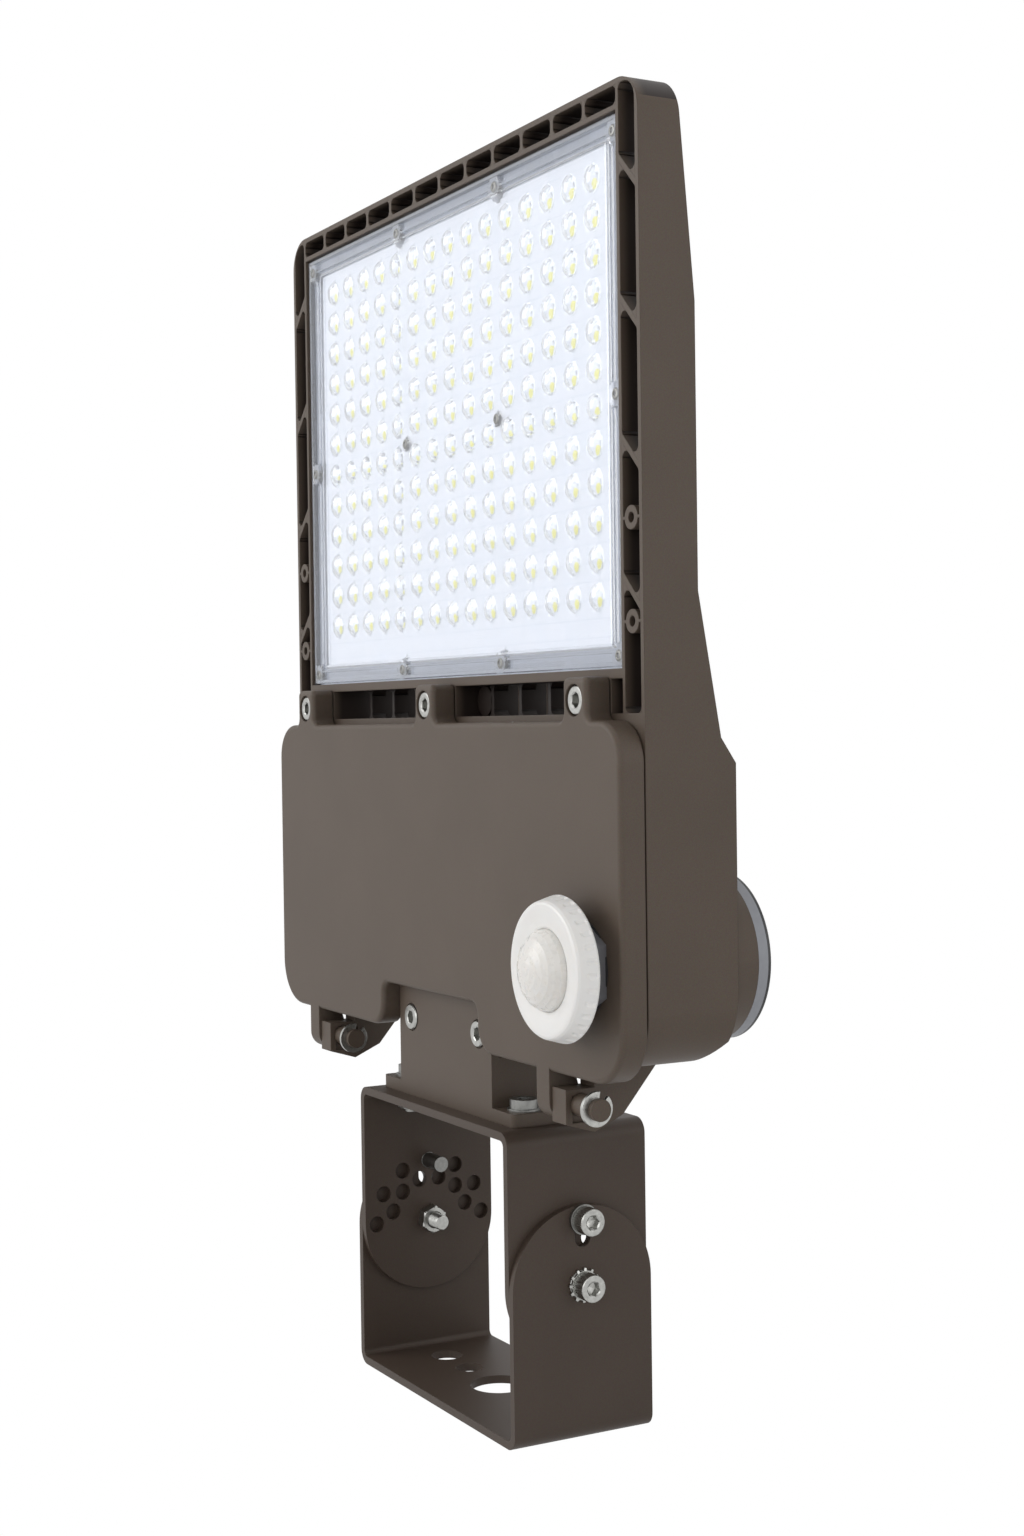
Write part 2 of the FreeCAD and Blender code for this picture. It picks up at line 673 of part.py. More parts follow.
# ---------------------------------------------------------------- lower yoke
# A bent plate: base, two legs with half-round ends, a lock slot above each pivot hole.
lower = Piece("lower_yoke")
leg = lower.sketch("leg_outline", "YZ_Plane", upper_half)
tongue(leg, half_yoke, ZERO, d.pivot_height, upwards=True)
right_leg = lower.pad("right_leg", leg, d.yoke_plate)
lower.mirror("left_leg", [right_leg], "YZ_Plane")
base = lower.sketch("base_outline", "XY_Plane")
box(base, -lower_half, lower_half, -half_yoke, half_yoke)
lower.pad("base", base, d.yoke_plate)
lower.fillet("outer_bend", d.bend_outer, lambda edge: runs_along(edge, "y")
             and near(middle(edge).z, 0) and near(abs(middle(edge).x), lower_half.value))
lower.fillet("inner_bend", d.bend_inner, lambda edge: runs_along(edge, "y")
             and near(middle(edge).z, d.yoke_plate.value) and near(abs(middle(edge).x), upper_half.value))
base_holes = lower.sketch("base_holes", "XY_Plane")
circle(base_holes, 0, 0, d.base_wire_hole / 2)
for side in (-1, 1):
    circle(base_holes, d.base_near_spacing / 2 * side, 0, d.base_near_hole / 2)
    circle(base_holes, d.base_far_spacing / 2 * side, 0, d.base_far_hole / 2)
lower.cut("base_drilling", base_holes)
pivots = lower.sketch("pivot_holes", "YZ_Plane")
circle(pivots, 0, d.pivot_height, d.bolt_dia / 2 + d.slip)
circle(pivots, 0, d.pivot_height + d.outer_row, d.bolt_hole / 2)
lower.cut("pivot_drilling", pivots, d.lower_width * 2, both=True)
slot = lower.sketch("lock_slot_inner_end", "YZ_Plane")
circle(slot, 0, d.pivot_height + d.inner_row, d.bolt_hole / 2)
lower.cut("lock_slot_end", slot, d.lower_width * 2, both=True)
slot = lower.sketch("lock_slot_sides", "YZ_Plane")
box(slot, -d.bolt_hole / 2, d.bolt_hole / 2,
            d.pivot_height + d.inner_row, d.pivot_height + d.outer_row)
lower.cut("lock_slot", slot, d.lower_width * 2, both=True)
nodes.append(lower.body)

# ---------------------------------------------------------------- upper yoke
# The mating inverted bracket: two legs inside the lower ones, with two rows of lock holes.
upper = Piece("upper_yoke")
leg = upper.sketch("leg_outline", "YZ_Plane", upper_half - d.yoke_plate)
tongue(leg, half_yoke, plate_top, d.pivot_height, upwards=False)
right_leg = upper.pad("right_leg", leg, d.yoke_plate)
upper.mirror("left_leg", [right_leg], "YZ_Plane")
plate = upper.sketch("plate_outline", "XY_Plane", plate_top - d.yoke_plate)
box(plate, -upper_half, upper_half, -half_yoke, half_yoke)
upper.pad("plate", plate, d.yoke_plate)
upper.fillet("outer_bend", d.bend_outer, lambda edge: runs_along(edge, "y")
             and near(middle(edge).z, plate_top.value) and near(abs(middle(edge).x), upper_half.value))
upper.fillet("inner_bend", d.bend_inner, lambda edge: runs_along(edge, "y")
             and near(middle(edge).z, (plate_top - d.yoke_plate).value)
             and near(abs(middle(edge).x), (upper_half - d.yoke_plate).value))
holes = upper.sketch("plate_holes", "XY_Plane", plate_top)
circle(holes, 0, 0, d.plate_wire_hole / 2)
for side in (-1, 1):
    for end in (-1, 1):
        circle(holes, d.arm_bolt_x * side, d.arm_bolt_y * end, d.bolt_hole / 2)
upper.cut("plate_drilling", holes, d.yoke_plate, towards=-1)
holes = upper.sketch("lock_holes", "YZ_Plane")
circle(holes, 0, d.pivot_height, d.bolt_dia / 2 + d.slip)
step = math.radians(d.lock_step.value)
for index in range(-3, 4):
    angle = index * step
    circle(holes, d.outer_row * math.sin(angle), d.pivot_height + d.outer_row * math.cos(angle),
           d.bolt_hole / 2)
for index in range(-3, 3):
    angle = (index + 0.5) * step
    circle(holes, d.inner_row * math.sin(angle), d.pivot_height + d.inner_row * math.cos(angle),
           d.bolt_hole / 2)
upper.cut("lock_drilling", holes, d.lower_width * 2, both=True)
nodes.append(upper.body)

# ---------------------------------------------------------------- yoke bolts
shank = d.bolt_dia
pivot_bolt = socket_screw("pivot_bolt", d.bolt_head_dia, d.bolt_head, shank, d.bolt_length,
                          d.bolt_socket)
out = lower_half + d.washer
pivot_places = [at(out, 0, d.pivot_height, FACE_RIGHT), at(-out, 0, d.pivot_height, FACE_LEFT)]
nodes.append(group("pivot_bolts", pivot_bolt, pivot_places))

# star washers: a ring with outward teeth, flat against the lower yoke
star = Piece("star_source")
star_ring = star.sketch("ring", "XY_Plane")
circle(star_ring, 0, 0, d.star_dia / 2 - d.washer * 0.7)
circle(star_ring, 0, 0, d.bolt_dia / 2 + d.slip)
star.pad("ring_body", star_ring, d.washer / 2)
tooth = star.sketch("tooth", "XY_Plane")
box(tooth, d.star_dia / 2 - d.washer, d.star_dia / 2, -d.washer / 2, d.washer / 2)
star_tooth = star.pad("first_tooth", tooth, d.washer)
star.ring("teeth", [star_tooth], (star.datum("Z_Axis"), [""]), d.star_teeth)
seat = star.sketch("seat", "XY_Plane")
circle(seat, 0, 0, d.bolt_head_dia / 2)
circle(seat, 0, 0, d.bolt_dia / 2 + d.slip)
star.pad("seat_ring", seat, d.washer)
star_places = [at(lower_half, 0, d.pivot_height, FACE_RIGHT),
               at(-lower_half, 0, d.pivot_height, FACE_LEFT)]
nodes.append(group("star_washers", star.body, star_places))

pivot_nut = hex_nut("pivot_nut", d.nut_flats, d.nut_height, d.bolt_dia)
inside = upper_half - d.yoke_plate
nut_places = [at(inside, 0, d.pivot_height, FACE_LEFT), at(-inside, 0, d.pivot_height, FACE_RIGHT)]
nodes.append(group("pivot_nuts", pivot_nut, nut_places))

# lock bolts: the outer part fills the lower yoke's slot, the inner end the upper yoke's hole
lock_height = d.pivot_height + d.outer_row
lock_outer = d.washer + d.yoke_plate - d.face_gap / 2
lock_bolt = socket_screw("lock_bolt", d.bolt_head_dia, d.bolt_head, shank, lock_outer, d.bolt_socket)
lock_places = [at(out, 0, lock_height, FACE_RIGHT), at(-out, 0, lock_height, FACE_LEFT)]
nodes.append(group("lock_bolts", lock_bolt, lock_places))
lock_end = primitive("Cylinder", "lock_end_source", Radius=d.bolt_hole / 2,
                     Height=d.yoke_plate - d.face_gap / 2)
lock_tip = primitive("Cylinder", "lock_tip_source", Radius=d.bolt_dia / 2,
                     Height=d.bolt_length - d.washer - d.yoke_plate - d.face_gap / 2)
lock_stud = fuse("lock_stud_source", lock_end, lock_tip)
stud = upper_half - d.face_gap / 2
stud_places = [at(stud, 0, lock_height, FACE_LEFT), at(-stud, 0, lock_height, FACE_RIGHT)]
nodes.append(group("lock_bolt_ends", lock_stud, stud_places))
spring_ring = cut_from("spring_washer_solid",
                       primitive("Cylinder", "spring_outer", Radius=d.washer_dia / 2, Height=d.washer),
                       primitive("Cylinder", "spring_bore", Radius=d.bolt_dia / 2, Height=d.washer))
lock_washer_places = [at(lower_half, 0, lock_height, FACE_RIGHT),
                      at(-lower_half, 0, lock_height, FACE_LEFT)]
nodes.append(group("lock_washers", spring_ring, lock_washer_places))

# ---------------------------------------------------------------- mounting arm
# A short box between the upper yoke and the housing: flange below, front plate in the door notch.
arm = Piece("mount_arm")
arm_y = front - d.arm_front
profile = arm.sketch("flange_outline", "XY_Plane", plate_top)
box(profile, -d.arm_flange_half, d.arm_flange_half, arm_y, d.arm_flange_back)
arm.pad("flange", profile, d.arm_flange)
profile = arm.sketch("front_outline", "XZ_Plane", arm_y)
box(profile, -d.arm_half, d.arm_half, plate_top, plate_top + d.arm_top)
arm.pad("front_plate", profile, d.arm_front)
profile = arm.sketch("box_outline", "XY_Plane", plate_top)
box(profile, -d.arm_half, d.arm_half, front, front + d.saddle_depth)
arm.pad("box", profile, saddle_z - plate_top)
hollow = arm.sketch("hollow_outline", "XY_Plane", plate_top)
box(hollow, -d.arm_half + d.arm_wall, d.arm_half - d.arm_wall,
            front + d.arm_wall, front + d.saddle_depth - d.arm_wall)
arm.cut("hollow", hollow, None, towards=1)
flange_holes = arm.sketch("flange_holes", "XY_Plane", plate_top)
for side in (-1, 1):
    for end in (-1, 1):
        circle(flange_holes, d.arm_bolt_x * side, d.arm_bolt_y * end, d.bolt_hole / 2)
arm.cut("flange_drilling", flange_holes, d.arm_flange, towards=1)
seats = arm.sketch("screw_seats", "XZ_Plane", arm_y)
screws = arm.sketch("screw_holes", "XZ_Plane", arm_y)
for side in (-1, 1):
    circle(seats, d.arm_screw_x * side, screw_z, d.bolt_head_dia / 2 + d.head_play)
    circle(screws, d.arm_screw_x * side, screw_z, d.bolt_hole / 2)
arm.cut("screw_seats_cut", seats, d.arm_sink, towards=1)
arm.cut("screw_drilling", screws, d.arm_front, towards=1)
arm.fillet("flange_corners", 3, lambda edge: runs_along(edge, "z")
           and near(abs(middle(edge).x), d.arm_flange_half.value))
arm.fillet("plate_corners", 3, lambda edge: runs_along(edge, "y")
           and near(middle(edge).z, (plate_top + d.arm_top).value))
nodes.append(arm.body)

arm_screw = socket_screw("arm_screw", d.bolt_head_dia, d.arm_screw_head, shank, d.arm_screw_length,
                         d.bolt_socket)
arm_screw_y = arm_y + d.arm_sink
nodes.append(group("arm_screws", arm_screw, [at(d.arm_screw_x * side, arm_screw_y, screw_z, FACE_FRONT)
                                             for side in (-1, 1)]))
flange_bolt = socket_screw("flange_bolt", d.button_dia, d.button_head, shank, d.flange_bolt_length,
                           d.bolt_socket)
flange_top = plate_top + d.arm_flange
corners = [(side, end) for side in (-1, 1) for end in (-1, 1)]
nodes.append(group("arm_bolts", flange_bolt,
                   [at(d.arm_bolt_x * side, d.arm_bolt_y * end, flange_top + d.washer / 2)
                    for side, end in corners]))
flat_ring = cut_from("flat_washer_solid",
                     primitive("Cylinder", "flat_outer", Radius=d.star_dia / 2, Height=d.washer / 2),
                     primitive("Cylinder", "flat_bore", Radius=d.bolt_dia / 2, Height=d.washer / 2))
nodes.append(group("arm_washers", flat_ring,
                   [at(d.arm_bolt_x * side, d.arm_bolt_y * end, flange_top) for side, end in corners]))
flange_nut = hex_nut("flange_nut", d.nut_flats, d.nut_height, d.bolt_dia)
under_plate = plate_top - d.yoke_plate
nodes.append(group("arm_nuts", flange_nut,
                   [at(d.arm_bolt_x * side, d.arm_bolt_y * end, under_plate - d.nut_height)
                    for side, end in corners]))

# ---------------------------------------------------------------- housing
# A casting: side walls with a stepped back, the driver bay with its saddle and hinge ears, and
# above it the lens seat, open cells round the lens and cooling fins behind the LED plate.
housing = Piece("housing")
profile = housing.sketch("side_view", "YZ_Plane")
loop(profile, [
    (front, base_z),
    (front, top_z),
    (front + d.top_depth, top_z),
    (front + d.sink_depth, top_z - d.taper_drop),
    (front + d.sink_depth, bay_top + d.shoulder_rise),
    (front + d.shoulder_depth, bay_top - d.shoulder_drop),
    (front + d.bay_depth, bay_top - d.step_drop),
    (front + d.bay_depth, base_z + d.back_corner * 3),
    (front + d.foot_depth, base_z + d.back_corner),
    (front + d.foot_depth - d.back_corner, base_z),
])
housing.pad("block", profile, d.housing_width, both=True)
housing.fillet("top_corners", d.top_corner, lambda edge: runs_along(edge, "y")
               and near(middle(edge).z, top_z.value))
housing.fillet("bottom_corners", d.bottom_corner, lambda edge: runs_along(edge, "y")
               and near(middle(edge).z, base_z.value))

# driver bay, open to the front behind the door, with a wall round the arm notch
profile = housing.sketch("bay_mouth", "XZ_Plane", front)
box(profile, -bay_half, bay_half, bay_low, bay_roof, d.bay_corner)
housing.cut("bay", profile, d.shoulder_depth - d.bay_back, towards=1)
profile = housing.sketch("bay_deep_part", "XZ_Plane", front + d.shoulder_depth - d.bay_back)
bay_shelf = bay_top - d.step_drop - d.bay_back
box(profile, -bay_half, bay_half, bay_low, bay_shelf, d.bay_corner)
housing.cut("deep_bay", profile, d.bay_depth - d.shoulder_depth, towards=1)
profile = housing.sketch("notch_wall_outline", "XZ_Plane", front)
box(profile, -d.notch_half - d.seal_band, d.notch_half + d.seal_band, bay_low - 1, saddle_rise)
housing.pad("notch_wall", profile, d.arm_screw_length + d.bay_back, towards=1)

# saddle for the arm, with its wire hole and two tapped holes
profile = housing.sketch("saddle_outline", "XY_Plane", saddle_z)
box(profile, -d.saddle_half, d.saddle_half, front, front + d.saddle_depth)
housing.pad("saddle", profile, d.saddle_drop + d.bay_floor)
profile = housing.sketch("wire_hole", "XY_Plane", saddle_z)
circle(profile, 0, front + d.saddle_depth - d.wire_inset, d.wire_way / 2)
housing.cut("wire_way", profile, d.saddle_drop + d.bay_floor, towards=1)
profile = housing.sketch("arm_taps", "XZ_Plane", front)
for side in (-1, 1):
    circle(profile, d.arm_screw_x * side, screw_z, d.bolt_dia / 2)
housing.cut("arm_tapping", profile, d.arm_screw_length, towards=1)


# gasket groove in the door flange
profile = housing.sketch("groove_outline", "XZ_Plane", front)
seal_loop(profile, d.gasket_inset, d.bottom_corner - d.gasket_inset)
seal_loop(profile, inner_inset, d.bottom_corner - inner_inset)
housing.cut("gasket_groove", profile, d.gasket_sink, towards=1)

# receptacle boss on the back, with its bore into the bay
profile = housing.sketch("receptacle_boss_outline", "XY_Plane", cell_z)
loop(profile, [
    (d.cell_right, bay_back + 1),
    (d.cell_right + d.cell_boss_foot / 2, bay_back + 1),
    (d.cell_right + d.cell_boss_foot / 2, front + d.bay_depth),
    (d.cell_right + d.cell_boss_top / 2, cell_face),
    (d.cell_right, cell_face),
])
spin = profile.addGeometry(Part.LineSegment(flat(d.cell_right, bay_back), flat(d.cell_right, cell_face)),
                           True)
hold(profile, spin, 1, d.cell_right, bay_back)
hold(profile, spin, 2, d.cell_right, cell_face)
housing.revolve("receptacle_boss", profile, "Axis0")
profile = housing.sketch("receptacle_bore", "XZ_Plane", cell_face)
circle(profile, d.cell_right, cell_z, d.cell_bore / 2)
housing.cut("receptacle_boring", profile, cell_face - bay_back + 1, towards=-1)

# hinge ears: a bored block in front with a recess round the pin, and a gusset behind it
ear_x = -d.hinge_spacing / 2 - d.ear / 2
profile = housing.sketch("ear_side", "YZ_Plane", ear_x)
loop(profile, [
    (pin_y - d.ear_front, pin_z + d.ear_top),
    (pin_y - d.ear_front, pin_z - d.ear_under),
    (pin_y + d.ear_front, pin_z - d.gusset_bottom),
    (pin_y + d.gusset_back, pin_z - d.gusset_bottom / 2),
    (pin_y + d.gusset_reach, base_z + 1),
    (pin_y + d.ear_front, base_z + 1),
    (pin_y + d.ear_front, pin_z + d.ear_top),
])
circle(profile, pin_y, pin_z, d.pin_dia / 2 + d.slip)
ear = housing.pad("left_ear", profile, d.ear)
profile = housing.sketch("ear_recess_side", "YZ_Plane", ear_x + d.ear)
box(profile, pin_y - d.pin_dia * 0.4, pin_y + d.pin_dia * 0.9,
    pin_z - d.pin_dia * 0.8, pin_z + d.pin_dia * 0.4)
recess = housing.cut("ear_recess", profile, d.ear_recess, towards=-1)
housing.row("right_ear", [ear, recess], "X_Axis", d.hinge_spacing, 2)

# lens seat, with a ledge round the LED board
profile = housing.sketch("lens_seat_outline", "XZ_Plane", front)
box(profile, -seat_half, seat_half, seat_bottom, seat_top)
housing.cut("lens_seat", profile, ledge_y - front, towards=1)
profile = housing.sketch("board_seat_outline", "XZ_Plane", front)
box(profile, -board_half, board_half, seat_bottom + d.ledge, seat_top - d.ledge)
housing.cut("board_seat", profile, board_floor - front, towards=1)

# open cells: a row along the top, a column down each side with slanting ribs, and a row of
# slots between lens and door whose ribs stand back from the front
cell_top = top_z - d.rim_wall
first_cell = -d.cell_pitch * 6 + d.rib / 2
cell_end = first_cell + d.cell_pitch - d.rib
cell_run = d.cell_pitch * 11
profile = housing.sketch("slot_recess", "XZ_Plane", front)
box(profile, -seat_half, seat_half, column_bottom, slot_top)
housing.cut("slot_row", profile, d.slot_setback, towards=1)
profile = housing.sketch("first_cells", "XZ_Plane", front)
box(profile, first_cell, cell_end, seat_top + d.seat_wall, cell_top)
box(profile, first_cell, cell_end, column_bottom, slot_top)
cell = housing.cut("first_cell", profile, None, towards=1)
housing.row("cells", [cell], "X_Axis", cell_run, 12)
profile = housing.sketch("column_cells", "XZ_Plane", front)
slant = cell_out - cell_in
bar = d.rib * math.sqrt(2)
for side in (-1, 1):
    inside, outside = cell_in * side, cell_out * side
    ceiling = [(inside, cell_top), (outside, cell_top, d.corner_cell)]
    for index in range(4):
        rib_z = top_z - d.diagonal_drop - d.diagonal_pitch * index
        loop(profile, ceiling + [
            (outside, rib_z - slant / 2 + bar / 2),
            (inside, rib_z + slant / 2 + bar / 2),
        ])
        ceiling = [(inside, rib_z + slant / 2 - bar / 2), (outside, rib_z - slant / 2 - bar / 2)]
    loop(profile, ceiling + [(outside, column_bottom), (inside, column_bottom)])
housing.cut("columns", profile, None, towards=1)

# accessory bosses in the side cells, each tied to both walls
rib_depth = d.top_depth - d.boss_setback
boss_x = (cell_in + cell_out) / 2
boss_z = bay_top + d.boss_low
boss_places = [(boss_x * side, boss_z + d.boss_spacing * level) for side in (-1, 1) for level in (0, 1)]
profile = housing.sketch("boss_outline", "XZ_Plane", front)
webs = housing.sketch("boss_web_outline", "XZ_Plane", front)
for x, z in boss_places:
    circle(profile, x, z, d.boss_dia / 2)
    box(webs, x - slant / 2 - 1, x + slant / 2 + 1, z - d.rib / 4, z + d.rib / 4)
housing.pad("boss", profile, rib_depth, towards=1)
housing.pad("boss_web", webs, rib_depth, towards=1)
profile = housing.sketch("boss_hole_outline", "XZ_Plane", front)
for x, z in boss_places:
    circle(profile, x, z, d.boss_hole / 2)
housing.cut("boss_holes", profile, rib_depth, towards=1)

# bosses behind the door lugs
slot_back = front + d.shoulder_depth - d.bay_back
profile = housing.sketch("lug_boss_outline", "XZ_Plane", front)
for x, z in lug_places:
    box(profile, x - d.lug_width / 2, x + d.lug_width / 2, column_bottom - 1, slot_top + 1)
housing.pad("lug_bosses", profile, slot_back - front, towards=1)
profile = housing.sketch("lug_hole_outline", "XZ_Plane", front)
for x, z in lug_places:
    circle(profile, x, z, d.lug_hole / 2)
housing.cut("lug_holes", profile, d.lug_screw_length, towards=1)

# small tapped holes of the lens and the board
profile = housing.sketch("lens_taps", "XZ_Plane", front)
for x, z in lens_places + centre_places:
    circle(profile, x, z, tap)
housing.cut("lens_tapping", profile, field_front - front + d.small_length + d.head_sink, towards=1)

# heat sink: the back opened down to the LED plate, in channels that leave the fins
fin_pitch = d.cell_pitch / 2
outer_fin = fin_pitch * d.fin_half
profile = housing.sketch("side_channels", "XZ_Plane", plate_back)
box(profile, -seat_half, -outer_fin - d.fin / 2, slot_top, seat_top)
box(profile, outer_fin + d.fin / 2, seat_half, slot_top, seat_top)
housing.cut("outer_channels", profile, None, towards=1)
profile = housing.sketch("first_channel", "XZ_Plane", plate_back)
box(profile, -outer_fin + d.fin / 2, -outer_fin + fin_pitch - d.fin / 2, slot_top, seat_top)
channel = housing.cut("channel", profile, None, towards=1)
housing.row("channels", [channel], "X_Axis", fin_pitch * (d.fin_half * 2 - 1), d.fin_half * 2)
nodes.append(housing.body)

# ---------------------------------------------------------------- hinge pins and rings
pin_length = d.strap + d.strap_gap + d.ear + d.pin_out
pin_head_y = primitive("Cylinder", "pin_head_source", Radius=d.pin_head_dia / 2, Height=d.pin_head)
lift(pin_head_y, -d.pin_head)
pin_rod = primitive("Cylinder", "pin_rod_source", Radius=d.pin_dia / 2, Height=pin_length)
groove_tool = cut_from("pin_groove_source",
                       primitive("Cylinder", "groove_outer", Radius=d.pin_dia / 2 + 1, Height=d.ring_wire),
                       primitive("Cylinder", "groove_core", Radius=d.pin_dia / 2 - d.ring_groove,
                                 Height=d.ring_wire))
lift(groove_tool, pin_length - d.ring_back - d.ring_wire)
pin = cut_from("pin_source", fuse("pin_join", pin_head_y, pin_rod), groove_tool)
pin_places = [at(d.hinge_spacing / 2 * side - d.ear / 2 - d.strap_gap - d.strap, pin_y, pin_z, FACE_RIGHT)
              for side in (-1, 1)]
nodes.append(group("hinge_pins", pin, pin_places))
ring = Piece("ring_source")
profile = ring.sketch("ring_outline", "XY_Plane")
circle(profile, 0, 0, d.ring_dia / 2)
circle(profile, 0, 0, d.pin_dia / 2 - d.ring_groove)
ring.pad("ring_body", profile, d.ring_wire)
profile = ring.sketch("ring_mouth", "XY_Plane")
loop(profile, [(0, 0), (-d.ring_dia, d.ring_dia * 0.2), (-d.ring_dia, d.ring_dia * 1.1)])
ring.cut("ring_opening", profile, d.ring_wire, towards=1)
ring_shift = pin_length - d.ring_back - d.ring_wire
ring_places = [at(d.hinge_spacing / 2 * side - d.ear / 2 - d.strap_gap - d.strap + ring_shift,
                  pin_y, pin_z, FACE_RIGHT) for side in (-1, 1)]
nodes.append(group("pin_rings", ring.body, ring_places))

# ---------------------------------------------------------------- driver cover (the door)
# A hollow lid with three lugs above, a notch for the arm below and two hinge straps.
door = Piece("driver_cover")
door_thick = door_back - door_front
lug_top = bay_top + d.lug_height
corners = [
    (-half, door_bottom, d.bottom_corner),
    (-d.notch_half, door_bottom, d.notch_outer),
    (-d.notch_half, notch_top, d.notch_inner),
    (d.notch_half, notch_top, d.notch_inner),
    (d.notch_half, door_bottom, d.notch_outer),
    (half, door_bottom, d.bottom_corner),
    (half, bay_top, d.door_top_corner),
]
for place in (1, 0, -1):
    left = d.lug_spacing * place - d.lug_width / 2
    right = d.lug_spacing * place + d.lug_width / 2
    corners += [(right, bay_top, d.lug_root), (right, lug_top, d.lug_corner),
                (left, lug_top, d.lug_corner), (left, bay_top, d.lug_root)]
corners.append((-half, bay_top, d.door_top_corner))
profile = door.sketch("door_outline", "XZ_Plane", door_back)
loop(profile, corners)
door.pad("slab", profile, door_thick, towards=-1)
door.fillet("front_edge", d.door_round, lambda edge: near(edge.BoundBox.YMin, door_front.value)
            and near(edge.BoundBox.YMax, door_front.value))
hollow = door.sketch("hollow_outline", "XZ_Plane", door_back)
inner_half = half - d.door_rim
beside = d.notch_half + d.door_rim
low = base_z + d.door_rim
over = notch_top + d.door_rim
high = bay_top - d.door_rim
loop(hollow, [
    (-inner_half, low, d.bay_corner), (-beside, low), (-beside, over), (beside, over), (beside, low),
    (inner_half, low, d.bay_corner), (inner_half, high, d.bay_corner), (-inner_half, high, d.bay_corner),
])
door.cut("hollow", hollow, door_thick - d.door_wall, towards=-1)
seats = door.sketch("lug_seat_outline", "XZ_Plane", door_front)
holes = door.sketch("lug_hole_outline", "XZ_Plane", door_front)
for x, z in lug_places:
    circle(seats, x, z, d.bolt_head_dia / 2 + d.head_play)
    circle(holes, x, z, d.bolt_hole / 2)
circle(holes, d.sensor_right, sensor_z, d.sensor_thread / 2 + d.slip)
door.cut("lug_seats", seats, d.head_sink + d.bolt_head, towards=1)
door.cut("screw_and_sensor_holes", holes, door_thick, towards=1)
strap_x = -d.hinge_spacing / 2 - d.ear / 2 - d.strap_gap - d.strap
profile = door.sketch("strap_side", "YZ_Plane", strap_x)
strap_root = door_bottom + d.strap_radius
loop(profile, [
    (door_front, pin_z),
    (pin_y + d.strap_radius, pin_z),
    (door_back, door_bottom + d.door_round),
    (door_back, strap_root),
    (door_front + d.door_wall, strap_root),
    (door_front, door_bottom + d.door_round),
])
strap = door.pad("strap", profile, d.strap)
profile = door.sketch("strap_end", "YZ_Plane", strap_x)
circle(profile, pin_y, pin_z, d.strap_radius)
eye = door.pad("strap_eye", profile, d.strap)
profile = door.sketch("strap_bore", "YZ_Plane", strap_x)
circle(profile, pin_y, pin_z, d.pin_dia / 2 + d.slip)
bore = door.cut("strap_boring", profile, d.strap, towards=1)
door.row("right_strap", [strap, eye, bore], "X_Axis", d.hinge_spacing, 2)
nodes.append(door.body)

gasket = Piece("cover_gasket")
profile = gasket.sketch("gasket_outline", "XZ_Plane", front + d.gasket_sink)
seal_loop(profile, d.gasket_inset, d.bottom_corner - d.gasket_inset)
seal_loop(profile, inner_inset, d.bottom_corner - inner_inset)
gasket.pad("gasket_body", profile, d.gasket_sink + d.door_gap, towards=-1)
nodes.append(gasket.body)

lug_screw = socket_screw("lug_screw", d.bolt_head_dia, d.bolt_head, shank, d.lug_screw_length,
                         d.bolt_socket)
lug_seat_y = door_front + d.head_sink + d.bolt_head
nodes.append(group("cover_screws", lug_screw, [at(x, lug_seat_y, z, FACE_FRONT) for x, z in lug_places]))

# ---------------------------------------------------------------- lens, gasket, board and LEDs
lens = Piece("lens")
rim_back = lens_front + d.lens_rim
profile = lens.sketch("lens_outline", "XZ_Plane", lens_front)
box(profile, -lens_half, lens_half, lens_bottom, lens_top)
lens.pad("plate", profile, d.lens_rim, towards=1)
lens.fillet("corners", d.lens_corner, lambda edge: runs_along(edge, "y"))
border = d.lens_border
profile = lens.sketch("field_outline", "XZ_Plane", lens_front)
box(profile, -lens_half + border, lens_half - border, lens_bottom + border, lens_top - border)
lens.cut("field", profile, field_front - lens_front, towards=1)
profile = lens.sketch("lens_holes", "XZ_Plane", lens_front)
for x, z in lens_places + centre_places:
    circle(profile, x, z, tap)
lens.cut("lens_drilling", profile, None, towards=1)
nodes.append(lens.body)

gasket = Piece("lens_gasket")
profile = gasket.sketch("gasket_outline", "XZ_Plane", ledge_y)
inner = board_half + d.board_play
box(profile, -seat_half, seat_half, seat_bottom, seat_top)
box(profile, -inner, inner, seat_bottom + d.ledge - d.board_play, seat_top - d.ledge + d.board_play)
gasket.pad("gasket_body", profile, d.gasket_height, towards=-1)
profile = gasket.sketch("gasket_holes", "XZ_Plane", ledge_y)
for x, z in lens_places:
    circle(profile, x, z, tap)
gasket.cut("gasket_drilling", profile, d.gasket_height, towards=-1)
nodes.append(gasket.body)

board = Piece("led_board")
board_w = board_half - d.board_play
board_low = seat_bottom + d.ledge + d.board_play
board_high = seat_top - d.ledge - d.board_play
profile = board.sketch("board_outline", "XZ_Plane", board_floor)
box(profile, -board_w, board_w, board_low, board_high)
board.pad("board", profile, d.board, towards=-1)
profile = board.sketch("board_holes", "XZ_Plane", board_floor)
for x, z in centre_places:
    circle(profile, x, z, tap)
board.cut("board_drilling", profile, d.board, towards=-1)
nodes.append(board.body)

chip = primitive("Box", "chip_source", Length=d.chip, Width=d.chip_height, Height=d.chip)
chip_y = board_floor - d.board - d.chip_height
chip_places = []
for column_index in range(int(d.columns.value)):
    for row_index in range(int(d.rows.value)):
        chip_places.append(at(first_column + d.column_pitch * column_index - d.chip / 2, chip_y,
                              first_row - d.row_pitch * row_index - d.chip / 2))
nodes.append(group("leds", chip, chip_places))

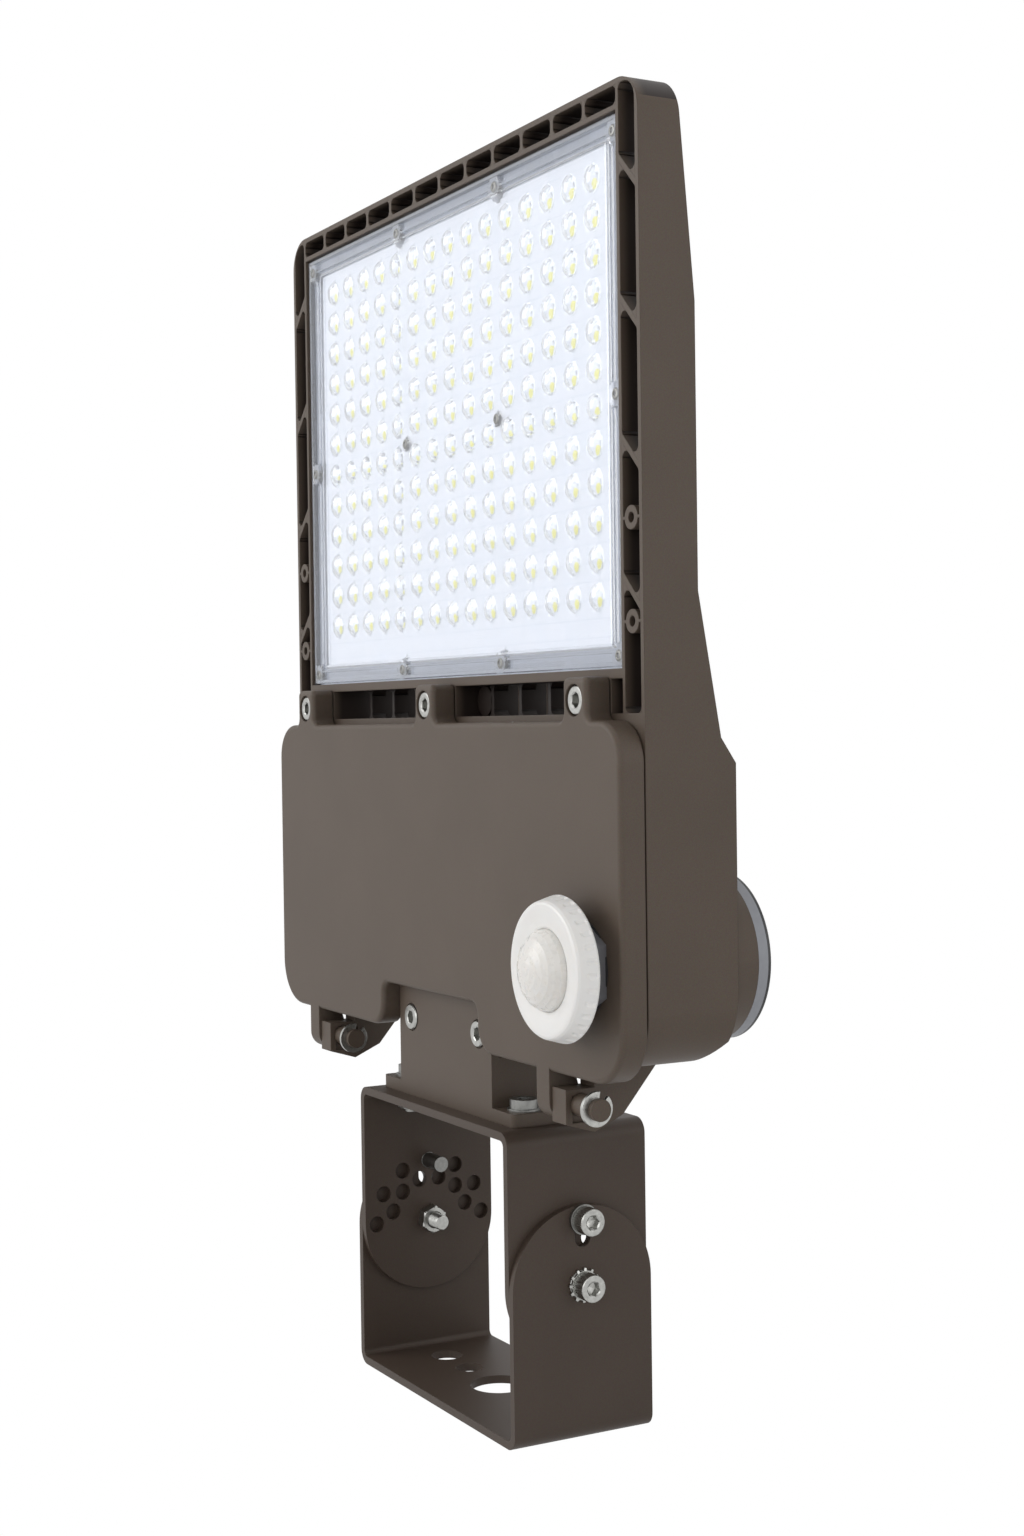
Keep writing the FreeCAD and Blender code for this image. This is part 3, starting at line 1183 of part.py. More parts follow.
small = socket_screw("small_screw", d.small_head_dia, d.small_head, d.small_screw, d.small_length,
                     d.small_screw / 2)
nodes.append(group("lens_screws", small, [at(x, lens_front, z, FACE_FRONT) for x, z in lens_places]))
nodes.append(group("board_screws", small,
                   [at(x, field_front, z, FACE_FRONT) for x, z in centre_places]))

# ---------------------------------------------------------------- motion sensor
# Bezel and body in one turned piece, with a thread through the door and a nut on each side.
sensor = Piece("sensor_body")
nut_front = door_front - d.sensor_nut
bezel_back = nut_front - d.sensor_neck
bezel_front = bezel_back - d.sensor_bezel
thread_end = door_front + d.door_wall + d.inner_nut + 3
profile = sensor.sketch("section", "XY_Plane", sensor_z)
start = d.sensor_right
loop(profile, [
    (start, bezel_front + 1),
    (start + d.dome_dia / 2, bezel_front + 1),
    (start + d.dome_dia / 2 + 1, bezel_front),
    (start + d.sensor_front_dia / 2 - 1, bezel_front),
    (start + d.sensor_front_dia / 2, bezel_front + 1),
    (start + d.sensor_back_dia / 2, bezel_back - 1.5),
    (start + d.sensor_back_dia / 2 - 1, bezel_back),
    (start + d.sensor_body_dia / 2, bezel_back),
    (start + d.sensor_thread / 2 + 4, nut_front),
    (start + d.sensor_thread / 2, nut_front),
    (start + d.sensor_thread / 2, thread_end),
    (start, thread_end),
])
axis_line = profile.addGeometry(Part.LineSegment(Vector(start.value, bezel_front.value, 0),
                                                 Vector(start.value, 0, 0)), True)
hold(profile, axis_line, 1, start, bezel_front)
hold(profile, axis_line, 2, start, ZERO)
sensor.revolve("turning", profile, "Axis0")
nodes.append(sensor.body)

dome = Piece("sensor_dome")
cap_radius = (d.dome_dia * d.dome_dia / 4 + d.dome_height * d.dome_height) / (d.dome_height * 2)
dome_sketch = dome.sketch("section", "XY_Plane", sensor_z)
dome_y = bezel_front + 1
sphere_y = dome_y - d.dome_height + cap_radius
edge_x = start + d.dome_dia / 2
apex = Vector(start.value, (dome_y - d.dome_height).value, 0)
rim = Vector(edge_x.value, dome_y.value, 0)
lean = math.asin(d.dome_dia.value / 2 / cap_radius.value) / 2
between = Vector(start.value + cap_radius.value * math.sin(lean),
                 sphere_y.value - cap_radius.value * math.cos(lean), 0)
dome_sketch.addGeometry(Part.Arc(apex, between, rim))
dome_sketch.addGeometry(Part.LineSegment(rim, Vector(start.value, dome_y.value, 0)))
dome_sketch.addGeometry(Part.LineSegment(Vector(start.value, dome_y.value, 0), apex))
dome_sketch.addConstraint(Sketcher.Constraint("Coincident", 0, 2, 1, 1))
dome_sketch.addConstraint(Sketcher.Constraint("Coincident", 1, 2, 2, 1))
dome_sketch.addConstraint(Sketcher.Constraint("Coincident", 2, 2, 0, 1))
hold(dome_sketch, 1, 1, edge_x, dome_y)
hold(dome_sketch, 2, 1, start, dome_y)
hold(dome_sketch, 2, 2, start, dome_y - d.dome_height)
tie = dome_sketch.addConstraint(Sketcher.Constraint("Radius", 0, cap_radius.value))
dome_sketch.setExpression("Constraints[%d]" % tie, cap_radius.text)
axis_line = dome_sketch.addGeometry(Part.LineSegment(Vector(start.value, -200, 0),
                                                     Vector(start.value, 0, 0)), True)
hold(dome_sketch, axis_line, 1, start, as_size(-200))
hold(dome_sketch, axis_line, 2, start, ZERO)
dome.revolve("turning", dome_sketch, "Axis0")
nodes.append(dome.body)

outer_nut = hex_nut("sensor_nut_part", d.sensor_nut_flats, d.sensor_nut, d.sensor_thread)
nodes.append(group("sensor_nut", outer_nut, [at(start, door_front, sensor_z, FACE_FRONT)]))
inner_nut = hex_nut("sensor_inner_nut_part", d.inner_nut_flats, d.inner_nut, d.sensor_thread)
nodes.append(group("sensor_locknut", inner_nut,
                   [at(start, door_front + d.door_wall, sensor_z, FACE_BACK)]))

# ---------------------------------------------------------------- photocontrol receptacle
pad_ring = cut_from("receptacle_gasket_solid",
                    primitive("Cylinder", "pad_outer", Radius=d.cell_boss_top / 2, Height=d.cell_gasket),
                    primitive("Cylinder", "pad_bore", Radius=d.cell_body_dia / 2, Height=d.cell_gasket))
nodes.append(group("receptacle_gasket", pad_ring, [at(d.cell_right, cell_face, cell_z, FACE_BACK)]))

receptacle = Piece("photocontrol_receptacle")
flange_y = cell_face + d.cell_gasket
profile = receptacle.sketch("flange_outline", "XZ_Plane", flange_y)
circle(profile, d.cell_right, cell_z, d.cell_boss_top / 2)
receptacle.pad("flange", profile, d.cell_flange)
profile = receptacle.sketch("body_outline", "XZ_Plane", flange_y)
circle(profile, d.cell_right, cell_z, d.cell_body_dia / 2)
receptacle.pad("socket_body", profile, d.cell_body, towards=-1)
profile = receptacle.sketch("slot_outline", "XZ_Plane", flange_y + d.cell_flange)
for index in range(3):
    turn = math.radians(90 + 120 * index)
    cx = d.cell_right + d.cell_slot_radius * math.cos(turn)
    cz = cell_z + d.cell_slot_radius * math.sin(turn)
    reach = d.cell_slot_radius.value * math.radians(d.cell_slot_angle.value) / 2
    along = (-math.sin(turn) * reach, math.cos(turn) * reach)
    across = (math.cos(turn) / 2, math.sin(turn) / 2)
    loop(profile, [(cx + along[0] * i + d.cell_slot * across[0] * k,
                       cz + along[1] * i + d.cell_slot * across[1] * k)
                      for i, k in ((-1, -1), (1, -1), (1, 1), (-1, 1))])
receptacle.cut("contact_slots", profile, d.cell_slot_depth, towards=-1)
nodes.append(receptacle.body)

# ---------------------------------------------------------------- driver and wiring parts
driver = Piece("led_driver")
driver_low = saddle_rise + d.driver_lift
driver_front = bay_back - d.driver_depth
profile = driver.sketch("case_outline", "XZ_Plane", bay_back)
box(profile, -d.driver_left + d.foot, -d.driver_left + d.driver_length - d.foot,
            driver_low, driver_low + d.driver_height)
driver.pad("case", profile, d.driver_depth, towards=-1)
driver.fillet("case_edges", 3, lambda edge: runs_along(edge, "y"))
profile = driver.sketch("foot_outline", "XZ_Plane", bay_back)
box(profile, -d.driver_left, -d.driver_left + d.driver_length,
            driver_low + d.foot, driver_low + d.driver_height - d.foot)
driver.pad("feet", profile, d.foot_thick, towards=-1)
profile = driver.sketch("foot_holes", "XZ_Plane", bay_back)
foot_places = [(-d.driver_left + d.foot / 2, driver_low + d.driver_height / 2),
               (-d.driver_left + d.driver_length - d.foot / 2, driver_low + d.driver_height / 2)]
for x, z in foot_places:
    circle(profile, x, z, tap)
driver.cut("foot_drilling", profile, d.foot_thick, towards=-1)
nodes.append(driver.body)
foot_screw = socket_screw("foot_screw", d.small_head_dia, d.small_head, d.small_screw,
                          d.foot_thick, d.small_screw / 2)
nodes.append(group("driver_screws", foot_screw,
                   [at(x, bay_back - d.foot_thick, z, FACE_FRONT) for x, z in foot_places]))

surge = Piece("surge_protector")
surge_left = -d.driver_left + d.driver_length + 4
profile = surge.sketch("case_outline", "XZ_Plane", bay_back)
box(profile, surge_left, surge_left + d.surge_width, driver_low, driver_low + d.surge_height)
surge.pad("case", profile, d.surge_depth, towards=-1)
surge.fillet("case_edges", 4, lambda edge: runs_along(edge, "y"))
nodes.append(surge.body)

block = Piece("terminal_block")
block_low = driver_low + d.surge_height + 12
profile = block.sketch("block_outline", "XZ_Plane", bay_back)
block_x = surge_left + d.surge_width / 2
box(profile, block_x - d.block_width / 2, block_x + d.block_width / 2, block_low, block_low + d.block_height)
block.pad("block", profile, d.block_depth, towards=-1)
profile = block.sketch("wire_entries", "XY_Plane", block_low)
for index in (-1, 0, 1):
    circle(profile, block_x + d.block_width / 3 * index, bay_back - d.block_depth / 2, d.block_width / 10)
block.cut("entries", profile, d.block_height / 2, towards=1)
nodes.append(block.body)

# ---------------------------------------------------------------- write the pieces
doc.recompute()
for thing in doc.Objects:
    if "Invalid" in thing.State or "Error" in thing.State:
        raise RuntimeError("%s did not build: %s" % (thing.Label, thing.State))
os.makedirs("parts", exist_ok=True)
for node in nodes:
    shape = node.Shape
    if shape.isNull() or not shape.isValid():
        raise RuntimeError("%s has no valid shape" % node.Label)
    shape.exportStep("parts/%s.step" % node.Label)
    print("%-24s solids %3d  volume %10.0f" % (node.Label, len(shape.Solids), shape.Volume))
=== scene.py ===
import math
import bmesh
import bpy
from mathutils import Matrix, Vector


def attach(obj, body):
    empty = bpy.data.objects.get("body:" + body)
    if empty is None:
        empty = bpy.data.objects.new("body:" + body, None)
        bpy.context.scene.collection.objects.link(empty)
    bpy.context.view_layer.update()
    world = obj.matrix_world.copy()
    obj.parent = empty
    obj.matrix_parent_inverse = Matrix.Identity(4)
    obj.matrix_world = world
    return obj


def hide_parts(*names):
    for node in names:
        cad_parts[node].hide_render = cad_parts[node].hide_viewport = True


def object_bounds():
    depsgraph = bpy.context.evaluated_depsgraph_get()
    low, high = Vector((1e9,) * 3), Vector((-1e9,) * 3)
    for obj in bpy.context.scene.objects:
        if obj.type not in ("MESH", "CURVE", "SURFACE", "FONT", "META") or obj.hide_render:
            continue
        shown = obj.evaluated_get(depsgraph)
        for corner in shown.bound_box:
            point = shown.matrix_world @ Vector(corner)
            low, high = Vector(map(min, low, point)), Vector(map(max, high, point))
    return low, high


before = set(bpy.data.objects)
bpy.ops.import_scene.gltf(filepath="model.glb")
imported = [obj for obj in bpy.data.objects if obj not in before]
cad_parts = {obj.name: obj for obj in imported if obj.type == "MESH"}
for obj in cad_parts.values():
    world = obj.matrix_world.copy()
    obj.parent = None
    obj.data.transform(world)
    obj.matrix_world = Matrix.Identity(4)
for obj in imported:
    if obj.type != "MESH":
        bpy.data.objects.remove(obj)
cad_box = [list(corner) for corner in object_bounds()]

# ---------------------------------------------------------------- the view
# Seen from the light's right and from about half its height. The camera's place, aim and focal
# length were solved from the regular grid of LEDs.
EYE = (0.95209, -0.50710, 0.33731)
AIM = (88.813, 0.789, 61.381)
FOCAL_PIXELS = 2150.0
PHOTO_HEIGHT = 1536.0
SENSOR = 36.0
view_data = bpy.data.cameras.new("view")
view_data.sensor_fit = "VERTICAL"
view_data.sensor_height = SENSOR
view_data.sensor_width = SENSOR
view_data.lens = FOCAL_PIXELS * SENSOR / PHOTO_HEIGHT
camera = bpy.data.objects.new("view", view_data)
camera.location = EYE
camera.rotation_euler = [math.radians(angle) for angle in AIM]
bpy.context.scene.collection.objects.link(camera)
bpy.context.scene.camera = camera
bpy.context.scene.view_settings.view_transform = "Standard"


# ---------------------------------------------------------------- floor, backdrop and light
# A white sweep that the camera, glass and metal see as plain white, under soft studio lamps.
def colour(code):
    """A six-figure sRGB hex colour as linear values."""
    parts = [int(code[i:i + 2], 16) / 255 for i in (0, 2, 4)]
    linear = [p / 12.92 if p <= 0.04045 else ((p + 0.055) / 1.055) ** 2.4 for p in parts]
    return (*linear, 1.0)


def add_node(tree, kind, settings=None, **links):
    """A node with its settings and its inputs, each a value or another node's socket."""
    made = tree.nodes.new(kind)
    for name, value in (settings or {}).items():
        setattr(made, name, value)
    for name, value in links.items():
        label = name.replace("_", " ")
        socket = made.inputs[int(name[1:])] if name[0] == "n" and name[1:].isdigit() else made.inputs[label]
        if isinstance(value, bpy.types.NodeSocket):
            tree.links.new(value, socket)
        else:
            socket.default_value = value
    return made


def white_to_the_eye(tree, shader, brightness):
    """The shader lights the object; camera, gloss and glass see plain white instead."""
    path = add_node(tree, "ShaderNodeLightPath")
    seen = add_node(tree, "ShaderNodeMath", {"operation": "MAXIMUM"}, n0=path.outputs["Is Camera Ray"],
                    n1=path.outputs["Is Glossy Ray"])
    seen = add_node(tree, "ShaderNodeMath", {"operation": "MAXIMUM"}, n0=seen.outputs[0],
                    n1=path.outputs["Is Transmission Ray"])
    glow = add_node(tree, "ShaderNodeEmission" if tree.nodes.get("World Output") is None
                    else "ShaderNodeBackground", Color=(1, 1, 1, 1), Strength=brightness)
    return add_node(tree, "ShaderNodeMixShader", n0=seen.outputs[0], n1=shader, n2=glow.outputs[0])


WORLD_LEVEL = 0.25
world = bpy.data.worlds.new("studio")
world.use_nodes = True
bpy.context.scene.world = world
tree = world.node_tree
soft = tree.nodes["Background"]
soft.inputs["Color"].default_value = (1, 1, 1, 1)
soft.inputs["Strength"].default_value = WORLD_LEVEL
mixed = white_to_the_eye(tree, soft.outputs[0], 1.0)
tree.links.new(mixed.outputs[0], tree.nodes["World Output"].inputs["Surface"])

FLOOR_SIDE = 6.0
bpy.ops.mesh.primitive_plane_add(size=FLOOR_SIDE, location=(0, 0, cad_box[0][2] - 0.0005))
floor = bpy.context.object
floor.name = "floor"
paper = bpy.data.materials.new("white_paper_sweep")
paper.use_nodes = True
tree = paper.node_tree
tree.nodes["Principled BSDF"].inputs["Base Color"].default_value = colour("F2F2F2")
tree.nodes["Principled BSDF"].inputs["Roughness"].default_value = 0.9
mixed = white_to_the_eye(tree, tree.nodes["Principled BSDF"].outputs[0], 1.0)
tree.links.new(mixed.outputs[0], tree.nodes["Material Output"].inputs["Surface"])
floor.data.materials.append(paper)

LAMPS = (  # name, place, aimed at, side in metres, watts
    ("front_left", (-1.0, -1.7, 1.1), (0, 0, 0.3), 1.4, 18.5),
    ("front_low", (0.3, -1.9, 0.25), (0, 0, 0.35), 1.4, 4.5),
    ("front_right", (1.5, -1.2, 0.9), (0, 0, 0.3), 1.0, 6.0),
    ("right_side", (1.9, 0.8, 0.8), (0.1, 0, 0.3), 1.3, 6.5),
    ("overhead", (0.2, 0.1, 1.9), (0, 0, 0.3), 1.2, 6.0),
)
for name, place, target, side, watts in LAMPS:
    lamp_data = bpy.data.lights.new(name, "AREA")
    lamp_data.size = side
    lamp_data.energy = watts
    lamp = bpy.data.objects.new(name, lamp_data)
    lamp.location = place
    lamp.rotation_euler = (Vector(target) - Vector(place)).to_track_quat("-Z", "Y").to_euler()
    bpy.context.scene.collection.objects.link(lamp)

# ---------------------------------------------------------------- lower yoke and upper yoke
# Two U-shaped plates bent from 4 mm aluminium and powder coated bronze, the lower one bolted
# down and the upper one carrying the head. They are coloured a little darker than the castings.
MM = 0.001


def dress(node, material):
    """Give a CAD node its finish."""
    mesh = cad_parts[node].data
    mesh.materials.clear()
    mesh.materials.append(material)


def new_material(name):
    material = bpy.data.materials.new(name)
    material.use_nodes = True
    return material, material.node_tree, material.node_tree.nodes["Principled BSDF"]


PAINTED_SHADE_FADE = 6 * MM


def bronze_powder_coat(name, dark, light, edge, deep=None):
    """Polyester powder on aluminium: satin, faintly mottled, with a fine sandy grain.

    The grain is about 0.5 mm, twice the real size, so that it shows. Edges catch the light
    where the powder flows round them. With deep given, painted shade darkens the deep pockets.
    """
    grain_size = 0.5 * MM
    mottle_size = 45 * MM
    material, tree, skin = new_material(name)
    place = add_node(tree, "ShaderNodeTexCoord").outputs["Object"]
    mottle = add_node(tree, "ShaderNodeTexNoise", Vector=place, Scale=1 / mottle_size, Detail=3.0)
    grain = add_node(tree, "ShaderNodeTexNoise", Vector=place, Scale=1 / grain_size, Detail=2.0)
    base = add_node(tree, "ShaderNodeMix", {"data_type": "RGBA"}, n0=mottle.outputs["Fac"],
                    n6=colour(dark), n7=colour(light))
    fleck = add_node(tree, "ShaderNodeMix", {"data_type": "RGBA", "blend_type": "OVERLAY"}, n0=0.35,
                     n6=base.outputs[2], n7=grain.outputs["Color"])
    final = fleck.outputs[2]
    # Painted shade: inside the given box the colour is blended towards a dark tone, fading in behind the
    # pockets' front.
    if deep:
        side, low, top, front, back, tone = deep
        split = add_node(tree, "ShaderNodeSeparateXYZ", Vector=place)
        across = add_node(tree, "ShaderNodeMath", {"operation": "ABSOLUTE"}, n0=split.outputs["X"])
        depth = add_node(tree, "ShaderNodeMapRange", {"interpolation_type": "SMOOTHSTEP"},
                         Value=split.outputs["Y"], From_Min=front, From_Max=front + PAINTED_SHADE_FADE)
        for measured, operation, limit in ((across.outputs[0], "LESS_THAN", side),
                                           (split.outputs["Z"], "LESS_THAN", top),
                                           (split.outputs["Z"], "GREATER_THAN", low),
                                           (split.outputs["Y"], "LESS_THAN", back)):
            gate = add_node(tree, "ShaderNodeMath", {"operation": operation}, n0=measured, n1=limit)
            depth = add_node(tree, "ShaderNodeMath", {"operation": "MULTIPLY"}, n0=depth.outputs[0],
                             n1=gate.outputs[0])
        painted_shade_blend = add_node(tree, "ShaderNodeMix", {"data_type": "RGBA"}, n0=depth.outputs[0], n6=final,
                        n7=colour(tone))
        final = painted_shade_blend.outputs[2]
    tree.links.new(final, skin.inputs["Base Color"])
    skin.inputs["Specular IOR Level"].default_value = 0.32
    gloss = add_node(tree, "ShaderNodeMapRange", Value=grain.outputs["Fac"], To_Min=0.42, To_Max=0.58)
    tree.links.new(gloss.outputs[0], skin.inputs["Roughness"])
    rounded = add_node(tree, "ShaderNodeBevel", {"samples": 4}, Radius=edge)
    bump = add_node(tree, "ShaderNodeBump", Height=grain.outputs["Fac"], Strength=0.22,
                    Distance=0.12 * MM, Normal=rounded.outputs[0])
    tree.links.new(bump.outputs[0], skin.inputs["Normal"])
    return material


plate_coat = bronze_powder_coat("bronze_powder_coat_on_plate", "41362E", "4A3E35", 0.6 * MM)
for node in ("lower_yoke", "upper_yoke"):
    dress(node, plate_coat)

# ---------------------------------------------------------------- yoke bolts, nuts and washers
# M8 socket cap screws of zinc-plated steel with a knurled head. The pivots have a star washer
# under the head and a nut inside, the lock bolts a spring washer.
STEEL = "C4C4C0"
STEEL_DARK = "8F8F8C"
HEAD_RADIUS = 6.5 * MM
HEAD_HEIGHT = 8.0 * MM
SOCKET = 3.0 * MM          # half across flats
SHANK = 4.0 * MM
PIVOT_Z = 73.5 * MM
LOCK_Z = 104.5 * MM
HEAD_X = 87.0 * MM         # underside of the heads
LOWER_YOKE_X = 85.0 * MM
NUT_X = 77.0 * MM          # inner face of the upper yoke
PIVOT_SHANK = 25.0 * MM
LOCK_SHANK = 5.5 * MM      # as far as the upper yoke
STAR_TEETH = 12
CAP_STEPS = 72
KNURL_STEP = 2 * math.pi / CAP_STEPS


def zinc_plated_steel(name, light, dark, roughness):
    """Bright zinc on turned steel: mirror-grey, cloudy at the size of a grain of sand."""
    material, tree, skin = new_material(name)
    place = add_node(tree, "ShaderNodeTexCoord").outputs["Object"]
    cloud = add_node(tree, "ShaderNodeTexNoise", Vector=place, Scale=1 / (1.6 * MM), Detail=3.0)
    tone = add_node(tree, "ShaderNodeMix", {"data_type": "RGBA"}, n0=cloud.outputs["Fac"],
                    n6=colour(dark), n7=colour(light))
    tree.links.new(tone.outputs[2], skin.inputs["Base Color"])
    gloss = add_node(tree, "ShaderNodeMapRange", Value=cloud.outputs["Fac"], To_Min=roughness - 0.08,
                     To_Max=roughness + 0.1)
    tree.links.new(gloss.outputs[0], skin.inputs["Roughness"])
    skin.inputs["Metallic"].default_value = 1.0
    rounded = add_node(tree, "ShaderNodeBevel", {"samples": 4}, Radius=0.25 * MM)
    bump = add_node(tree, "ShaderNodeBump", Height=cloud.outputs["Fac"], Strength=0.15,
                    Distance=0.05 * MM, Normal=rounded.outputs[0])
    tree.links.new(bump.outputs[0], skin.inputs["Normal"])
    return material


def round_outline(angle):
    return 1.0


def hexagon_outline(angle):
    """Radius of a hexagon whose flats are at 1."""
    sixth = math.pi / 3
    return 1 / math.cos((angle + sixth / 2) % sixth - sixth / 2)


def knurled_outline(angle):
    """Sharp grooves round a screw head, one for every two steps of the mesh."""
    return 1.0 if round(angle / KNURL_STEP) % 2 else 0.955


def solid_of(name, form):
    """An object from a finished form, its faces turned outward."""
    bmesh.ops.recalc_face_normals(form, faces=form.faces)
    mesh = bpy.data.meshes.new(name)
    form.to_mesh(mesh)
    form.free()
    return bpy.data.objects.new(name, mesh)


def turned(name, rings, steps, closed=False):
    """A form turned about +Z from rings of radius, height and outline, which is round if left out.

    With closed, the last ring joins the first.
    """
    form = bmesh.new()
    loops = []
    for radius, height, *shape in rings:
        outline = shape[0] if shape else round_outline
        if radius == 0:
            loops.append([form.verts.new((0, 0, height))])
            continue
        turn = [2 * math.pi * i / steps for i in range(steps)]
        loops.append([form.verts.new((radius * outline(a) * math.cos(a), radius * outline(a) * math.sin(a),
                                      height)) for a in turn])
    pairs = list(zip(loops, loops[1:]))
    if closed:
        pairs.append((loops[-1], loops[0]))
    for low, high in pairs:
        for i in range(steps):
            j = (i + 1) % steps
            corners = [low[i % len(low)], low[j % len(low)], high[j % len(high)], high[i % len(high)]]
            form.faces.new(list(dict.fromkeys(corners)))
    return solid_of(name, form)


def new_tree(name, **sockets):
    """A Geometry Nodes tree with a result, and inputs listed for each kind of socket."""
    tree = bpy.data.node_groups.new(name, "GeometryNodeTree")
    for kind, labels in sockets.items():
        for label in labels:
            tree.interface.new_socket(name=label, in_out="INPUT", socket_type="NodeSocket" + kind)
    tree.interface.new_socket(name="Result", in_out="OUTPUT", socket_type="NodeSocketGeometry")
    return tree, add_node(tree, "NodeGroupInput").outputs


def stamping_tree():
    """Stamps one piece at every point, its +Z along the point's axis, each turned by chance."""
    tree, given = new_tree("stamp_at_points", Geometry=["Points"], Object=["Piece"], Float=["Turn"],
                           Int=["Seed"], Material=["Finish"])
    piece = add_node(tree, "GeometryNodeObjectInfo", Object=given["Piece"])
    axis = add_node(tree, "GeometryNodeInputNamedAttribute", {"data_type": "FLOAT_VECTOR"}, Name="axis")
    aimed = add_node(tree, "FunctionNodeAlignRotationToVector", {"axis": "Z"}, Vector=axis.outputs[0])
    chance = add_node(tree, "FunctionNodeRandomValue", {"data_type": "FLOAT"}, n2=0.0, n3=given["Turn"],
                      Seed=given["Seed"])
    roll = add_node(tree, "FunctionNodeAxisAngleToRotation", Axis=(0, 0, 1), Angle=chance.outputs[1])
    turned_by = add_node(tree, "FunctionNodeRotateRotation", {"rotation_space": "LOCAL"},
                         Rotation=aimed.outputs[0], Rotate_By=roll.outputs[0])
    stamped = add_node(tree, "GeometryNodeInstanceOnPoints", Points=given["Points"],
                       Instance=piece.outputs["Geometry"], Rotation=turned_by.outputs[0])
    real = add_node(tree, "GeometryNodeRealizeInstances", Geometry=stamped.outputs[0])
    finished = add_node(tree, "GeometryNodeSetMaterial", Geometry=real.outputs[0], Material=given["Finish"])
    add_node(tree, "NodeGroupOutput", Result=finished.outputs[0])
    return tree


def grown(name, start, tree, sizes):
    """The plain mesh that a Geometry Nodes tree makes from a start object."""
    bpy.context.scene.collection.objects.link(start)
    rule = start.modifiers.new("rule", "NODES")
    rule.node_group = tree
    for socket in tree.interface.items_tree:
        if socket.in_out == "INPUT" and socket.name in sizes:
            rule[socket.identifier] = sizes[socket.name]
    bpy.context.view_layer.update()
    graph = bpy.context.evaluated_depsgraph_get()
    mesh = bpy.data.meshes.new_from_object(start.evaluated_get(graph))
    bpy.data.objects.remove(start)
    made = bpy.data.objects.new(name, mesh)
    bpy.context.scene.collection.objects.link(made)
    return made


def stamped(name, template, places, finish, turn=2 * math.pi, seed=1):
    """One mesh of a template at each (point, axis)."""
    mesh = bpy.data.meshes.new(name + "_points")
    mesh.from_pydata([point for point, axis in places], [], [])
    axes = mesh.attributes.new("axis", "FLOAT_VECTOR", "POINT")
    for i, (point, axis) in enumerate(places):
        axes.data[i].vector = axis
    start = bpy.data.objects.new(name + "_points", mesh)
    bpy.context.scene.collection.objects.link(template)
    made = grown(name, start, STAMP, {"Piece": template, "Turn": turn, "Seed": seed, "Finish": finish})
    bpy.data.objects.remove(template)
    return made


def settle(piece, body, slot, *nodes):
    """A finished piece rides on its body and stands for its CAD nodes, which it hides. The slot is not used.
    """
    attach(piece, body)
    if nodes:
        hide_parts(*nodes)


def cap_screw(name, length, thread=1.25 * MM):
    """Socket cap screw: head on z = 0, threaded shank below."""
    rings = [(0, -length), (SHANK * 0.85, -length)]
    turns = int(length * 0.8 / thread)
    for i in range(turns):
        low = -length + (i + 0.4) * thread
        rings += [(SHANK, low), (SHANK * 0.86, low + thread / 2)]
    rings += [(SHANK * 0.99, -length * 0.1), (SHANK * 0.99, 0),
              (HEAD_RADIUS * 0.94, 0), (HEAD_RADIUS, 0.06 * HEAD_HEIGHT, knurled_outline),
              (HEAD_RADIUS, 0.88 * HEAD_HEIGHT, knurled_outline),
              (HEAD_RADIUS * 0.97, 0.96 * HEAD_HEIGHT),
              (HEAD_RADIUS * 0.9, HEAD_HEIGHT),
              (SOCKET * 1.24, HEAD_HEIGHT), (SOCKET, 0.93 * HEAD_HEIGHT, hexagon_outline),
              (SOCKET, 0.45 * HEAD_HEIGHT, hexagon_outline), (0, 0.36 * HEAD_HEIGHT)]
    return turned(name, rings, CAP_STEPS)


def star_outline(angle):
    """Square teeth with gaps a sixth of the radius deep."""
    return 1.0 if math.cos(STAR_TEETH * angle) > 0.1 else 0.84


STAMP = stamping_tree()
zinc = zinc_plated_steel("zinc_plated_steel", STEEL, STEEL_DARK, 0.3)
# A darker copy of the zinc for fasteners that sit in shade: painted shade.
zinc_with_painted_shade = zinc_plated_steel("zinc_plated_steel_in_shade", "9B9B98", "6F6F6D", 0.36)

pivot_points = [((side * HEAD_X, 0, PIVOT_Z), (side, 0, 0)) for side in (-1, 1)]
lock_points = [((side * HEAD_X, 0, LOCK_Z), (side, 0, 0)) for side in (-1, 1)]
settle(stamped("pivot_cap_screws", cap_screw("cap_screw_long", PIVOT_SHANK), pivot_points, zinc, seed=4),
       "base", "fastener", "pivot_bolts")
settle(stamped("lock_cap_screws", cap_screw("cap_screw_short", LOCK_SHANK), lock_points, zinc, seed=9),
       "base", "fastener", "lock_bolts")

WASHER = 2.0 * MM
star_rings = [(SHANK * 1.03, 0), (7.2 * MM, 0),
              (8.2 * MM, 0.5 * MM, star_outline), (8.2 * MM, 1.5 * MM, star_outline),
              (7.0 * MM, WASHER), (SHANK * 1.03, WASHER)]
star_points = [((side * LOWER_YOKE_X, 0, PIVOT_Z), (side, 0, 0)) for side in (-1, 1)]
settle(stamped("toothed_lock_washers", turned("star", star_rings, 96, closed=True), star_points, zinc),
       "base", "fastener", "star_washers")

